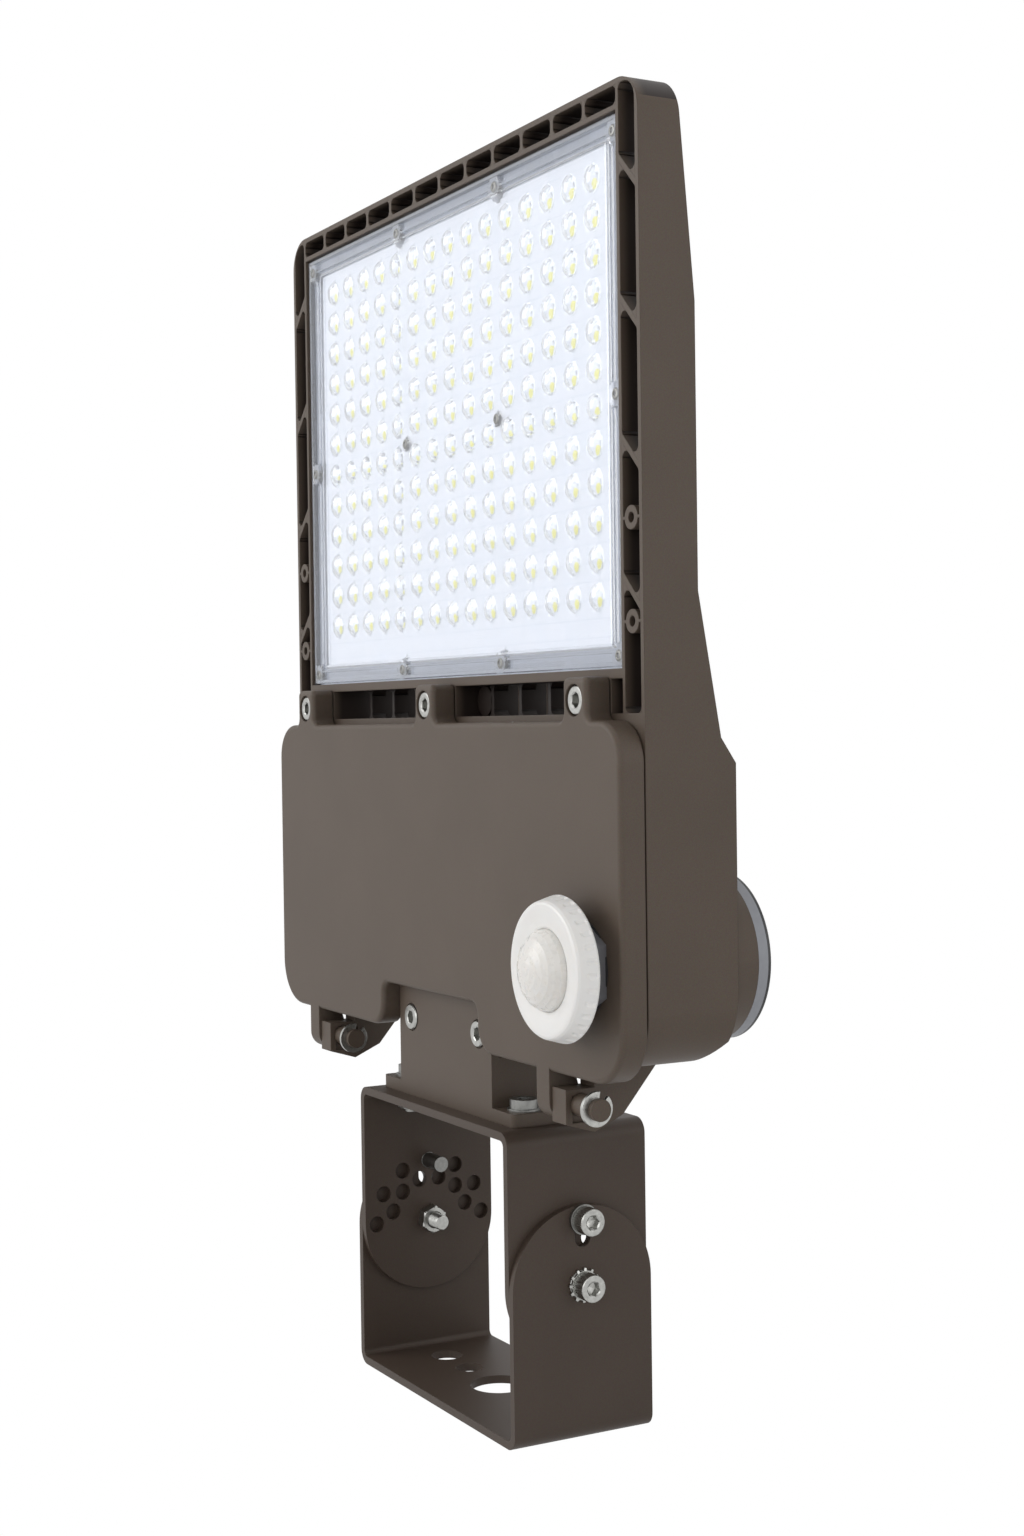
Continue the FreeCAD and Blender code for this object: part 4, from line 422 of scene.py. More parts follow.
NUT_HALF = 6.5 * MM
NUT_HEIGHT = 6.5 * MM
nut_rings = [(SHANK * 1.02, 0.5 * MM), (SHANK * 1.14, 0),
             (NUT_HALF * 0.99, 0), (NUT_HALF, 0.7 * MM, hexagon_outline),
             (NUT_HALF, NUT_HEIGHT - 0.7 * MM, hexagon_outline), (NUT_HALF * 0.99, NUT_HEIGHT),
             (SHANK * 1.14, NUT_HEIGHT), (SHANK * 1.02, NUT_HEIGHT - 0.5 * MM)]
nut_points = [((side * NUT_X, 0, PIVOT_Z), (-side, 0, 0)) for side in (-1, 1)]
settle(stamped("pivot_hex_nuts", turned("hex_nut", nut_rings, 48, closed=True), nut_points, zinc, seed=3),
       "base", "fastener", "pivot_nuts")
# The lock washers and bolt ends take the zinc darkened with painted shade.
for node in ("lock_washers", "lock_bolt_ends"):
    dress(node, zinc_with_painted_shade)

# ---------------------------------------------------------------- mounting arm
# A cast arm under the housing: its front plate stands in the cover's notch, and its flange is
# bolted down on the upper yoke with four button-head screws, washers and nuts.
coat = bronze_powder_coat("bronze_powder_coat_on_casting", "4F443A", "594D43", 0.8 * MM)
dress("mount_arm", coat)
# The arm's bolts, washers and nuts take the zinc darkened with painted shade.
for node in ("arm_bolts", "arm_washers", "arm_nuts"):
    dress(node, zinc_with_painted_shade)
ARM_SCREW_X = 36.5 * MM
ARM_SCREW_Z = 188.0 * MM
ARM_SCREW_Y = -27.5 * MM
LOW_HEAD = 2.0 * MM
LOW_SHANK = 14 * MM
low_rings = [(0, -LOW_SHANK), (SHANK * 0.98, -LOW_SHANK),
             (SHANK * 0.98, 0), (HEAD_RADIUS, 0),
             (HEAD_RADIUS, LOW_HEAD * 0.6), (HEAD_RADIUS * 0.92, LOW_HEAD),
             (SOCKET * 1.24, LOW_HEAD), (SOCKET, LOW_HEAD * 0.8, hexagon_outline),
             (SOCKET, -1.2 * MM, hexagon_outline), (0, -1.8 * MM)]
arm_points = [((side * ARM_SCREW_X, ARM_SCREW_Y, ARM_SCREW_Z), (0, -1, 0)) for side in (-1, 1)]
settle(stamped("arm_front_screws", turned("low_head", low_rings, 48), arm_points, zinc, seed=2),
       "head", "fastener", "arm_screws")

# ---------------------------------------------------------------- housing
# One die casting: open cells and ribs round the lens, fins on the back, the driver bay with its
# lid's hinge ears, and a round boss for the photocontrol. Inside the cells the colour is darkened: painted
# shade.
# Painted shade: the box of the darkened cells, and the dark tone painted into them.
PAINTED_POCKET_SHADE = (183.6 * MM, 340 * MM, 609.5 * MM, -24.6 * MM, 0.0, "241B17")  # side, low, top, front, back, tone
housing_coat_with_painted_shade = bronze_powder_coat("bronze_powder_coat_with_painted_pocket_shade", "4F443A", "594D43", 0.8 * MM, deep=PAINTED_POCKET_SHADE)
dress("housing", housing_coat_with_painted_shade)

# ---------------------------------------------------------------- rounded cell corners
# The ribs of the casting run into its walls with small concave roundings, and a round boss stands
# in the row of slots beside the middle lug. Both are cast with the housing.
ROOT = 2.8 * MM
ROOT_ARC = 6                    # faces across a rounding
CELL_FRONT = -24.5 * MM
SLOT_FRONT = -13.5 * MM
CELL_BACK = -5.5 * MM
CELL_PITCH = 28.05 * MM
RIB_HALF = 1.3 * MM
COLUMN_IN = 169.0 * MM
COLUMN_OUT = 181.9 * MM
COLUMN_LOW = 341.0 * MM
CELL_TOP = 608.4 * MM
TOP_ROW_LOW = 600.3 * MM
SLOT_TOP = 356.0 * MM
RIB_HEIGHTS = [(570.5 - 59.3 * i) * MM for i in range(4)]
SLANT_HALF = (COLUMN_OUT - COLUMN_IN) / 2
BAR_HALF = RIB_HALF * math.sqrt(2)
SLOT_BOSS = (20.0 * MM, 348.5 * MM, 7.5 * MM)     # across, up, radius
SLOT_BOSS_BACK = 10.0 * MM
SLOT_BOSS_STEPS = 36


def rounding(corner, along, up):
    """Outline that fills a corner between two edges up to a tangent arc."""
    corner, along, up = Vector(corner), Vector(along).normalized(), Vector(up).normalized()
    half_angle = along.angle(up) / 2
    reach = ROOT / math.tan(half_angle)
    hub = corner + (along + up).normalized() * (ROOT / math.sin(half_angle))
    start, end = corner + along * reach - hub, corner + up * reach - hub
    arc = [start.lerp(end, i / ROOT_ARC).normalized() * ROOT + hub for i in range(ROOT_ARC + 1)]
    return [corner] + arc


def prism(form, outline, front, back):
    """A solid with the given outline across X and Z."""
    near = [form.verts.new((x, front, z)) for x, z in outline]
    far = [form.verts.new((x, back, z)) for x, z in outline]
    form.faces.new(near)
    form.faces.new(far[::-1])
    for i in range(len(near)):
        form.faces.new((near[i], near[i - 1], far[i - 1], far[i]))


form = bmesh.new()
for row_low, row_high, row_front in ((TOP_ROW_LOW, CELL_TOP, CELL_FRONT), (COLUMN_LOW, SLOT_TOP, SLOT_FRONT)):
    for i in range(-6, 6):
        left, right = i * CELL_PITCH + RIB_HALF, (i + 1) * CELL_PITCH - RIB_HALF
        for x, z, along, up in ((left, row_low, 1, 1), (right, row_low, -1, 1), (left, row_high, 1, -1),
                                (right, row_high, -1, -1)):
            prism(form, rounding((x, z), (along, 0), (0, up)), row_front, CELL_BACK)
for side in (-1, 1):
    inner, outer = COLUMN_IN * side, COLUMN_OUT * side
    corners = [((inner, CELL_TOP), (side, 0), (0, -1)), ((inner, COLUMN_LOW), (side, 0), (0, 1)),
               ((outer, COLUMN_LOW), (-side, 0), (0, 1))]
    for rib in RIB_HEIGHTS:
        corners += [((inner, rib + SLANT_HALF + BAR_HALF), (side, -1), (0, 1)),
                    ((outer, rib - SLANT_HALF + BAR_HALF), (-side, 1), (0, 1)),
                    ((inner, rib + SLANT_HALF - BAR_HALF), (side, -1), (0, -1)),
                    ((outer, rib - SLANT_HALF - BAR_HALF), (-side, 1), (0, -1))]
    for corner, along, up in corners:
        prism(form, rounding(corner, along, up), CELL_FRONT, CELL_BACK)
across, height, radius = SLOT_BOSS
angles = [2 * math.pi * i / SLOT_BOSS_STEPS for i in range(SLOT_BOSS_STEPS)]
boss_outline = [(across + radius * math.cos(a), height + radius * math.sin(a)) for a in angles]
prism(form, boss_outline, SLOT_FRONT, SLOT_BOSS_BACK)
roundings = solid_of("cell_roundings", form)
bpy.context.scene.collection.objects.link(roundings)
roundings.data.materials.append(housing_coat_with_painted_shade)
settle(roundings, "head", "housing")

# ---------------------------------------------------------------- hinge pins and rings
# The cover hangs on two pins painted with it, each kept by an open ring of spring steel.
dress("hinge_pins", coat)
dress("pin_rings", zinc)

# ---------------------------------------------------------------- driver cover
# A cast lid over the driver bay, held by three captive cap screws in its lugs and sealed by a
# silicone cord in a groove.
dress("driver_cover", coat)


def soft_rubber(name, tone, sheen_tone, roughness):
    """Silicone rubber: dull, slightly dusty, with a faint moulded grain."""
    material, tree, skin = new_material(name)
    place = add_node(tree, "ShaderNodeTexCoord").outputs["Object"]
    dust = add_node(tree, "ShaderNodeTexNoise", Vector=place, Scale=1 / (3 * MM), Detail=4.0)
    mixed_tone = add_node(tree, "ShaderNodeMix", {"data_type": "RGBA"}, n0=dust.outputs["Fac"],
                          n6=colour(tone), n7=colour(sheen_tone))
    tree.links.new(mixed_tone.outputs[2], skin.inputs["Base Color"])
    skin.inputs["Roughness"].default_value = roughness
    bump = add_node(tree, "ShaderNodeBump", Height=dust.outputs["Fac"], Strength=0.2, Distance=0.1 * MM)
    tree.links.new(bump.outputs[0], skin.inputs["Normal"])
    return material


black_rubber = soft_rubber("black_silicone_rubber", "1C1C1E", "28282A", 0.6)
dress("cover_gasket", black_rubber)

LUG_X = 147.3 * MM
LUG_Z = 347.0 * MM
LUG_HEAD_Y = -28.9 * MM      # underside of the heads
LUG_SHANK = 16.0 * MM
lug_points = [((x, LUG_HEAD_Y, LUG_Z), (0, -1, 0)) for x in (-LUG_X, 0, LUG_X)]
settle(stamped("cover_cap_screws", cap_screw("cap_screw_cover", LUG_SHANK), lug_points, zinc, seed=6),
       "cover", "fastener", "cover_screws")

# ---------------------------------------------------------------- LED board
# A white-lacquered aluminium board under the lens: faint copper tracks show through the lacquer.
def white_solder_mask(name):
    """White lacquer over etched copper: glossy white with faint straight tracks 1.2 mm wide."""
    material, tree, skin = new_material(name)
    place = add_node(tree, "ShaderNodeTexCoord").outputs["Object"]
    flat = add_node(tree, "ShaderNodeMapping", Vector=place, Rotation=(math.pi / 2, 0, 0))
    tracks = add_node(tree, "ShaderNodeTexBrick", {"offset": 0.5}, Vector=flat.outputs[0],
                      Color1=colour("F4F5F8"), Color2=colour("EFF1F5"), Mortar=colour("E2E5EC"),
                      Scale=1.0, Mortar_Size=0.35 * MM, Brick_Width=19.86 * MM, Row_Height=8.325 * MM)
    tree.links.new(tracks.outputs["Color"], skin.inputs["Base Color"])
    skin.inputs["Roughness"].default_value = 0.3
    bump = add_node(tree, "ShaderNodeBump", Height=tracks.outputs["Fac"], Strength=0.2, Distance=0.04 * MM)
    tree.links.new(bump.outputs[0], skin.inputs["Normal"])
    return material


dress("led_board", white_solder_mask("white_solder_mask"))
dress("lens_gasket", soft_rubber("grey_silicone_rubber", "E6E9F0", "EEF0F5", 0.5))

# ---------------------------------------------------------------- LEDs
# 180 surface-mount LEDs in 15 columns and 12 rows: a white resin frame with a disc of yellow
# phosphor silicone, soldered to the board.
LED_COLUMNS = 15
LED_ROWS = 12
LED_PITCH_X = 19.86 * MM
LED_PITCH_Z = 16.65 * MM
LED_SIDE = 5.0 * MM
LED_BACK = -18.0 * MM
LED_HEIGHT = 0.7 * MM
LED_MIDDLE_Z = 482.02 * MM
PHOSPHOR_SHARE = 0.47           # radius of the phosphor, as a share of the package's side
PHOSPHOR_LIFT = 0.56            # its middle above the board, as a share of the package's thickness


def led_tree():
    """A grid of LED packages facing -Y, each a frame and a phosphor disc."""
    tree, given = new_tree("led_grid", Geometry=["Geometry"], Int=["Columns", "Rows"],
                           Float=["Width", "Height", "Side", "Thickness"],
                           Material=["Frame Finish", "Phosphor Finish"])
    grid = add_node(tree, "GeometryNodeMeshGrid", Size_X=given["Width"], Size_Y=given["Height"],
                    Vertices_X=given["Columns"], Vertices_Y=given["Rows"])
    size = add_node(tree, "ShaderNodeCombineXYZ", X=given["Side"], Y=given["Side"], Z=given["Thickness"])
    frame_box = add_node(tree, "GeometryNodeMeshCube", Size=size.outputs[0])
    half_thick = add_node(tree, "ShaderNodeMath", {"operation": "MULTIPLY"}, n0=given["Thickness"], n1=0.5)
    lift_frame = add_node(tree, "ShaderNodeCombineXYZ", Z=half_thick.outputs[0])
    raised = add_node(tree, "GeometryNodeTransform", Geometry=frame_box.outputs[0],
                      Translation=lift_frame.outputs[0])
    white = add_node(tree, "GeometryNodeSetMaterial", Geometry=raised.outputs[0],
                     Material=given["Frame Finish"])
    disc_radius = add_node(tree, "ShaderNodeMath", {"operation": "MULTIPLY"}, n0=given["Side"],
                           n1=PHOSPHOR_SHARE)
    disc = add_node(tree, "GeometryNodeMeshCylinder", Vertices=16, Radius=disc_radius.outputs[0],
                    Depth=given["Thickness"])
    lift_disc = add_node(tree, "ShaderNodeMath", {"operation": "MULTIPLY"}, n0=given["Thickness"],
                         n1=PHOSPHOR_LIFT)
    lift_disc = add_node(tree, "ShaderNodeCombineXYZ", Z=lift_disc.outputs[0])
    raised_disc = add_node(tree, "GeometryNodeTransform", Geometry=disc.outputs[0],
                           Translation=lift_disc.outputs[0])
    yellow = add_node(tree, "GeometryNodeSetMaterial", Geometry=raised_disc.outputs[0],
                      Material=given["Phosphor Finish"])
    led = add_node(tree, "GeometryNodeJoinGeometry")
    tree.links.new(white.outputs[0], led.inputs[0])
    tree.links.new(yellow.outputs[0], led.inputs[0])
    rows = add_node(tree, "GeometryNodeInstanceOnPoints", Points=grid.outputs[0], Instance=led.outputs[0])
    stood = add_node(tree, "GeometryNodeTransform", Geometry=rows.outputs[0], Rotation=(math.pi / 2, 0, 0),
                     Translation=(0, LED_BACK, LED_MIDDLE_Z))
    real = add_node(tree, "GeometryNodeRealizeInstances", Geometry=stood.outputs[0])
    add_node(tree, "NodeGroupOutput", Result=real.outputs[0])
    return tree


def moulded_plastic(name, tone, other, roughness, grain, strength, clear=0.0):
    """Injection-moulded plastic: even colour with a slow drift, and the mould's spark grain."""
    material, tree, skin = new_material(name)
    place = add_node(tree, "ShaderNodeTexCoord").outputs["Object"]
    drift = add_node(tree, "ShaderNodeTexNoise", Vector=place, Scale=1 / (20 * MM), Detail=2.0)
    spark = add_node(tree, "ShaderNodeTexNoise", Vector=place, Scale=1 / grain, Detail=2.0)
    tint = add_node(tree, "ShaderNodeMix", {"data_type": "RGBA"}, n0=drift.outputs["Fac"], n6=colour(tone),
                    n7=colour(other))
    tree.links.new(tint.outputs[2], skin.inputs["Base Color"])
    gloss = add_node(tree, "ShaderNodeMapRange", Value=spark.outputs["Fac"], To_Min=roughness - 0.05,
                     To_Max=roughness + 0.05)
    tree.links.new(gloss.outputs[0], skin.inputs["Roughness"])
    skin.inputs["IOR"].default_value = 1.53
    if clear:
        skin.inputs["Subsurface Weight"].default_value = clear
        skin.inputs["Subsurface Radius"].default_value = (1.0, 0.9, 0.8)
        skin.inputs["Subsurface Scale"].default_value = 1.5 * MM
    bump = add_node(tree, "ShaderNodeBump", Height=spark.outputs["Fac"], Strength=strength,
                    Distance=0.05 * MM)
    tree.links.new(bump.outputs[0], skin.inputs["Normal"])
    return material


led_frame = moulded_plastic("white_led_resin", "F2F2EC", "E9E9E2", 0.35, 0.4 * MM, 0.1)
phosphor = moulded_plastic("yellow_phosphor_silicone", "F7EC10", "FAF22A", 0.3, 0.3 * MM, 0.15)
seed_point = bpy.data.objects.new("led_start", bpy.data.meshes.new("led_start"))
leds = grown("led_packages", seed_point, led_tree(), {
    "Columns": LED_COLUMNS, "Rows": LED_ROWS, "Width": LED_PITCH_X * (LED_COLUMNS - 1),
    "Height": LED_PITCH_Z * (LED_ROWS - 1), "Side": LED_SIDE, "Thickness": LED_HEIGHT,
    "Frame Finish": led_frame, "Phosphor Finish": phosphor})
settle(leds, "head", "led", "leds")

# ---------------------------------------------------------------- lens
# One clear polycarbonate moulding: a raised rim, two channels along every side that stop at the
# screw bosses, and an oval lenslet over each LED, set a little above it to throw light forward.
LENS_X = 166.0 * MM
LENS_LOW = 361.0 * MM
LENS_HIGH = 597.3 * MM
LENS_FRONT = -23.2 * MM
LENS_BACK = -19.5 * MM
FIELD_DEPTH = 2.9 * MM          # lens field behind the rim
LENSLET_HALF_X = 4.9 * MM
LENSLET_HALF_Z = 5.7 * MM
LENSLET_RISE = 2.7 * MM
LENSLET_LIFT = 1.9 * MM         # lenslet above its LED
LENSLET_HOLLOW = 0.74           # hollow under a lenslet, as a share of its width
HOLLOW_RISE = 2.4 * MM
SHARP_BEND = 0.6                # radians between faces past which an edge stays sharp
BORDER = ((0.0, 0.5), (0.5, 0.0), (2.0, 0.0), (2.3, 2.4), (6.0, 2.5), (6.3, 0.9), (7.1, 0.8),
          (7.4, 2.3), (8.9, 2.3), (9.2, 1.5), (10.0, 1.4), (10.4, 2.9))   # mm from the edge, mm deep
SIDE_STRETCH = 1.3              # the channels are wider along the upright sides
BOSS_RADIUS = 6.4 * MM
BOSS_SLOPE = 0.8 * MM
BOSS_DROP = 0.25 * MM           # top of a screw boss behind the rim
CENTRE_BOSS = 3.7 * MM
CENTRE_SLOPE = 0.4 * MM
CENTRE_RISE = 0.9 * MM          # centre boss above the field
OUTER_SCREW_X = 161.1 * MM
INNER_SCREW_X = 53.5 * MM
CENTRE_SCREW_X = 49.65 * MM
TOP_SCREW_Z = 590.7 * MM
MIDDLE_SCREW_Z = 478.3 * MM
LOW_SCREW_Z = 365.9 * MM
LENS_SCREWS = [(side * x, z) for side in (-1, 1) for x, z in (
    (OUTER_SCREW_X, TOP_SCREW_Z), (INNER_SCREW_X, TOP_SCREW_Z), (OUTER_SCREW_X, MIDDLE_SCREW_Z),
    (OUTER_SCREW_X, LOW_SCREW_Z), (INNER_SCREW_X, LOW_SCREW_Z))]
CENTRE_SCREWS = [(side * CENTRE_SCREW_X, LED_MIDDLE_Z) for side in (-1, 1)]


def border_depth(from_edge):
    """Depth in metres of the moulded border at a distance in mm from the lens edge."""
    for (near, shallow), (far, deep) in zip(BORDER, BORDER[1:]):
        if from_edge <= far:
            share = (from_edge - near) / (far - near)
            return (shallow + (deep - shallow) * share) * MM
    return FIELD_DEPTH


def lens_depth(x, z):
    """Depth of the lens front behind its rim, before the lenslets are raised."""
    to_side = (LENS_X - abs(x)) / SIDE_STRETCH
    to_end = min(LENS_HIGH - z, z - LENS_LOW)
    depth = border_depth(max(0.0, min(to_side, to_end) / MM))
    for sx, sz in LENS_SCREWS:
        away = math.hypot(x - sx, z - sz)
        if away < BOSS_RADIUS:
            slope = min(1.0, (BOSS_RADIUS - away) / BOSS_SLOPE)
            depth = depth + (min(depth, BOSS_DROP) - depth) * slope
    for sx, sz in CENTRE_SCREWS:
        away = math.hypot(x - sx, z - sz)
        if away < CENTRE_BOSS:
            depth = FIELD_DEPTH - CENTRE_RISE * min(1.0, (CENTRE_BOSS - away) / CENTRE_SLOPE)
    return depth


def graded_lines(start, end, fine_spots, coarse):
    """Grid lines from start to end, with extra ones where the border and its bosses need them."""
    lines = {round(start, 6), round(end, 6)}
    count = int(round((end - start) / coarse))
    lines |= {round(start + (end - start) * i / count, 6) for i in range(count + 1)}
    lines |= {round(spot, 6) for spot in fine_spots if start < spot < end}
    ordered = sorted(lines)
    kept = [ordered[0]]
    for line in ordered[1:]:
        if line - kept[-1] > 0.12 * MM or line == ordered[-1]:
            kept.append(line)
    return kept


def grid_of(form, lines_x, lines_z, depth_at):
    """A grid of faces; returns the edges round it."""
    rows = [[form.verts.new((x, depth_at(x, z), z)) for z in lines_z] for x in lines_x]
    faces = []
    for left, right in zip(rows, rows[1:]):
        for i in range(len(lines_z) - 1):
            faces.append(form.faces.new((left[i], right[i], right[i + 1], left[i + 1])))
    return [edge for face in faces for edge in face.edges if len(edge.link_faces) == 1]


def lens_plate():
    """The lens without its lenslets: a graded grid in front, a plain one behind and walls round."""
    steps_x = [distance * SIDE_STRETCH * MM for distance, depth in BORDER]
    steps_z = [distance * MM for distance, depth in BORDER]
    spots_x = [side * (LENS_X - step) for side in (-1, 1) for step in steps_x]
    across_boss = [step * 0.9 * MM for step in range(-8, 9)]
    spots_x += [side * INNER_SCREW_X + step for side in (-1, 1) for step in across_boss]
    spots_z = [LENS_LOW + step for step in steps_z] + [LENS_HIGH - step for step in steps_z]
    spots_z += [MIDDLE_SCREW_Z + step for step in across_boss]
    form = bmesh.new()
    rims = grid_of(form, graded_lines(-LENS_X, LENS_X, spots_x, LED_PITCH_X / 12),
                   graded_lines(LENS_LOW, LENS_HIGH, spots_z, LED_PITCH_Z / 12),
                   lambda x, z: LENS_FRONT + lens_depth(x, z))
    rims += grid_of(form, graded_lines(-LENS_X, LENS_X, (), LED_PITCH_X / 10),
                    graded_lines(LENS_LOW, LENS_HIGH, (), LED_PITCH_Z / 10), lambda x, z: LENS_BACK)
    bmesh.ops.bridge_loops(form, edges=rims)
    return solid_of("lens_plate", form)


def lenslet_tree():
    """Raises an oval lenslet on the lens front over every LED of the grid."""
    tree, given = new_tree("lenslets", Geometry=["Geometry"], Int=["Columns", "Rows"], Float=[
        "Pitch X", "Pitch Z", "Middle Z", "Half Width", "Half Height", "Rise", "Hollow", "Hollow Rise",
        "Field Y", "Back Y"], Material=["Finish"])
    place = add_node(tree, "GeometryNodeInputPosition")
    split = add_node(tree, "ShaderNodeSeparateXYZ", n0=place.outputs[0])
    bend = add_node(tree, "GeometryNodeInputMeshEdgeAngle")
    known = {socket.name: socket for socket in given}
    known.update(x=split.outputs[0], y=split.outputs[1], z=split.outputs[2],
                 bend=bend.outputs["Unsigned Angle"])

    # each step: its result, the operation, and two terms that are numbers or results known so far
    steps = [("from middle", "SUBTRACT", "z", "Middle Z")]
    for way, place_on, count, pitch, half_size in (("across", "x", "Columns", "Pitch X", "Half Width"),
                                                   ("up", "from middle", "Rows", "Pitch Z", "Half Height")):
        steps += [(way + " last", "SUBTRACT", count, 1.0),
                  (way + " run", "MULTIPLY", way + " last", pitch),
                  (way + " half run", "MULTIPLY", way + " run", 0.5),
                  (way + " from first", "ADD", place_on, way + " half run"),
                  (way + " step", "DIVIDE", way + " from first", pitch),
                  (way + " rounded", "ROUND", way + " step", 0.0),
                  (way + " not under", "MAXIMUM", way + " rounded", 0.0),
                  (way + " nearest", "MINIMUM", way + " not under", way + " last"),
                  (way + " off", "SUBTRACT", way + " step", way + " nearest"),
                  (way + " away", "MULTIPLY", way + " off", pitch),
                  (way + " share", "DIVIDE", way + " away", half_size),
                  (way + " square", "MULTIPLY", way + " share", way + " share")]
    steps += [("from peak", "ADD", "across square", "up square"),
              ("outer left", "SUBTRACT", 1.0, "from peak"),
              ("outer dome", "MAXIMUM", "outer left", 0.0),
              ("outside", "SQRT", "outer dome", 0.0),
              ("narrow", "MULTIPLY", "Hollow", "Hollow"),
              ("from hollow peak", "DIVIDE", "from peak", "narrow"),
              ("inner left", "SUBTRACT", 1.0, "from hollow peak"),
              ("inner dome", "MAXIMUM", "inner left", 0.0),
              ("inside", "SQRT", "inner dome", 0.0),
              ("in front", "LESS_THAN", "y", "Field Y"),
              ("at back", "GREATER_THAN", "y", "Back Y"),
              ("front rise", "MULTIPLY", "outside", "Rise"),
              ("raise front", "MULTIPLY", "front rise", "in front"),
              ("back rise", "MULTIPLY", "inside", "Hollow Rise"),
              ("raise back", "MULTIPLY", "back rise", "at back"),
              ("both", "ADD", "raise front", "raise back"),
              ("forward", "MULTIPLY", "both", -1.0),
              ("sharp", "GREATER_THAN", "bend", SHARP_BEND)]
    for result, operation, first, second in steps:
        made = add_node(tree, "ShaderNodeMath", {"operation": operation}, n0=known.get(first, first),
                        n1=known.get(second, second))
        known[result] = made.outputs[0]
    shift = add_node(tree, "ShaderNodeCombineXYZ", Y=known["forward"])
    raised = add_node(tree, "GeometryNodeSetPosition", Geometry=given["Geometry"], Offset=shift.outputs[0])
    smooth = add_node(tree, "GeometryNodeSetShadeSmooth", Geometry=raised.outputs[0])
    smooth = add_node(tree, "GeometryNodeSetShadeSmooth", {"domain": "EDGE"}, Geometry=smooth.outputs[0],
                      Selection=known["sharp"], Shade_Smooth=False)
    finished = add_node(tree, "GeometryNodeSetMaterial", Geometry=smooth.outputs[0], Material=given["Finish"])
    add_node(tree, "NodeGroupOutput", Result=finished.outputs[0])
    return tree


def clear_polycarbonate(name):
    """Clear moulded polycarbonate: faintly blue, sharp reflections, a soft ripple from the mould.

    Light passes it to the board behind as it does in thin clear plastic.
    """
    material, tree, skin = new_material(name)
    place = add_node(tree, "ShaderNodeTexCoord").outputs["Object"]
    ripple = add_node(tree, "ShaderNodeTexNoise", Vector=place, Scale=1 / (9 * MM), Detail=2.0)
    tint = add_node(tree, "ShaderNodeMix", {"data_type": "RGBA"}, n0=ripple.outputs["Fac"],
                    n6=colour("F4F7FC"), n7=colour("FAFBFE"))
    tree.links.new(tint.outputs[2], skin.inputs["Base Color"])
    skin.inputs["Roughness"].default_value = 0.03
    skin.inputs["IOR"].default_value = 1.586
    skin.inputs["Transmission Weight"].default_value = 0.78
    bump = add_node(tree, "ShaderNodeBump", Height=ripple.outputs["Fac"], Strength=0.15, Distance=0.3 * MM)
    tree.links.new(bump.outputs[0], skin.inputs["Normal"])
    path = add_node(tree, "ShaderNodeLightPath")
    clear = add_node(tree, "ShaderNodeBsdfTransparent", Color=colour("F4F7FC"))
    passing = add_node(tree, "ShaderNodeMixShader", n0=path.outputs["Is Shadow Ray"], n1=skin.outputs[0],
                       n2=clear.outputs[0])
    tree.links.new(passing.outputs[0], tree.nodes["Material Output"].inputs["Surface"])
    return material


lens = grown("moulded_lens", lens_plate(), lenslet_tree(), {
    "Columns": LED_COLUMNS, "Rows": LED_ROWS, "Pitch X": LED_PITCH_X, "Pitch Z": LED_PITCH_Z,
    "Middle Z": LED_MIDDLE_Z + LENSLET_LIFT, "Half Width": LENSLET_HALF_X, "Half Height": LENSLET_HALF_Z,
    "Rise": LENSLET_RISE, "Hollow": LENSLET_HOLLOW, "Hollow Rise": HOLLOW_RISE,
    "Field Y": (LENS_BACK + LENS_FRONT + FIELD_DEPTH) / 2, "Back Y": LENS_BACK - 0.2 * MM,
    "Finish": clear_polycarbonate("clear_polycarbonate")})
settle(lens, "head", "lens", "lens")

# ---------------------------------------------------------------- lens and board screws
# Ten small cap screws hold the lens rim down on its gasket, two more hold the board's middle.
# Their heads are sunk in the bosses of the lens and stand only just proud of them; their darker zinc is
# painted shade.
SMALL_HEAD = 2.7 * MM
SMALL_RISE = 1.6 * MM
SMALL_PROUD = 0.3 * MM
SMALL_SHANK = 1.6 * MM
SMALL_LENGTH = 5.0 * MM
small_rings = [(0, -SMALL_LENGTH), (SMALL_SHANK, -SMALL_LENGTH),
               (SMALL_SHANK, 0), (SMALL_HEAD, 0),
               (SMALL_HEAD * 0.98, SMALL_RISE * 0.6),
               (SMALL_HEAD * 0.8, SMALL_RISE * 0.95),
               (SMALL_HEAD * 0.5, SMALL_RISE),
               (SMALL_HEAD * 0.4, SMALL_RISE * 0.9, hexagon_outline),
               (SMALL_HEAD * 0.4, 0, hexagon_outline), (0, -0.1 * MM)]
rim_seat = LENS_FRONT + BOSS_DROP + SMALL_RISE - SMALL_PROUD
rim_points = [((x, rim_seat, z), (0, -1, 0)) for x, z in LENS_SCREWS]
settle(stamped("lens_rim_screws", turned("small_screw", small_rings, 36), rim_points, zinc_with_painted_shade, seed=8),
       "head", "fastener", "lens_screws")
board_seat = LENS_FRONT + FIELD_DEPTH - CENTRE_RISE + SMALL_RISE - SMALL_PROUD
board_points = [((x, board_seat, z), (0, -1, 0)) for x, z in CENTRE_SCREWS]
settle(stamped("board_middle_screws", turned("small_screw", small_rings, 36), board_points, zinc_with_painted_shade,
               seed=5), "head", "fastener", "board_screws")

# ---------------------------------------------------------------- motion sensor
# A white ABS bezel with grip notches round a milky polyethylene dome. Its threaded stem passes
# the cover and is held by a grey nylon nut on a black seal, and a locknut inside.
SENSOR_X = 152.5 * MM
SENSOR_Z = 231.5 * MM
DOOR_FRONT = -37.5 * MM
BEZEL_BACK = 10.0 * MM       # distances out from the cover's face
BEZEL_FRONT = 20.0 * MM
BEZEL_NOTCHES = 32
BEZEL_STEPS = BEZEL_NOTCHES * 8
STEM = 10.0 * MM


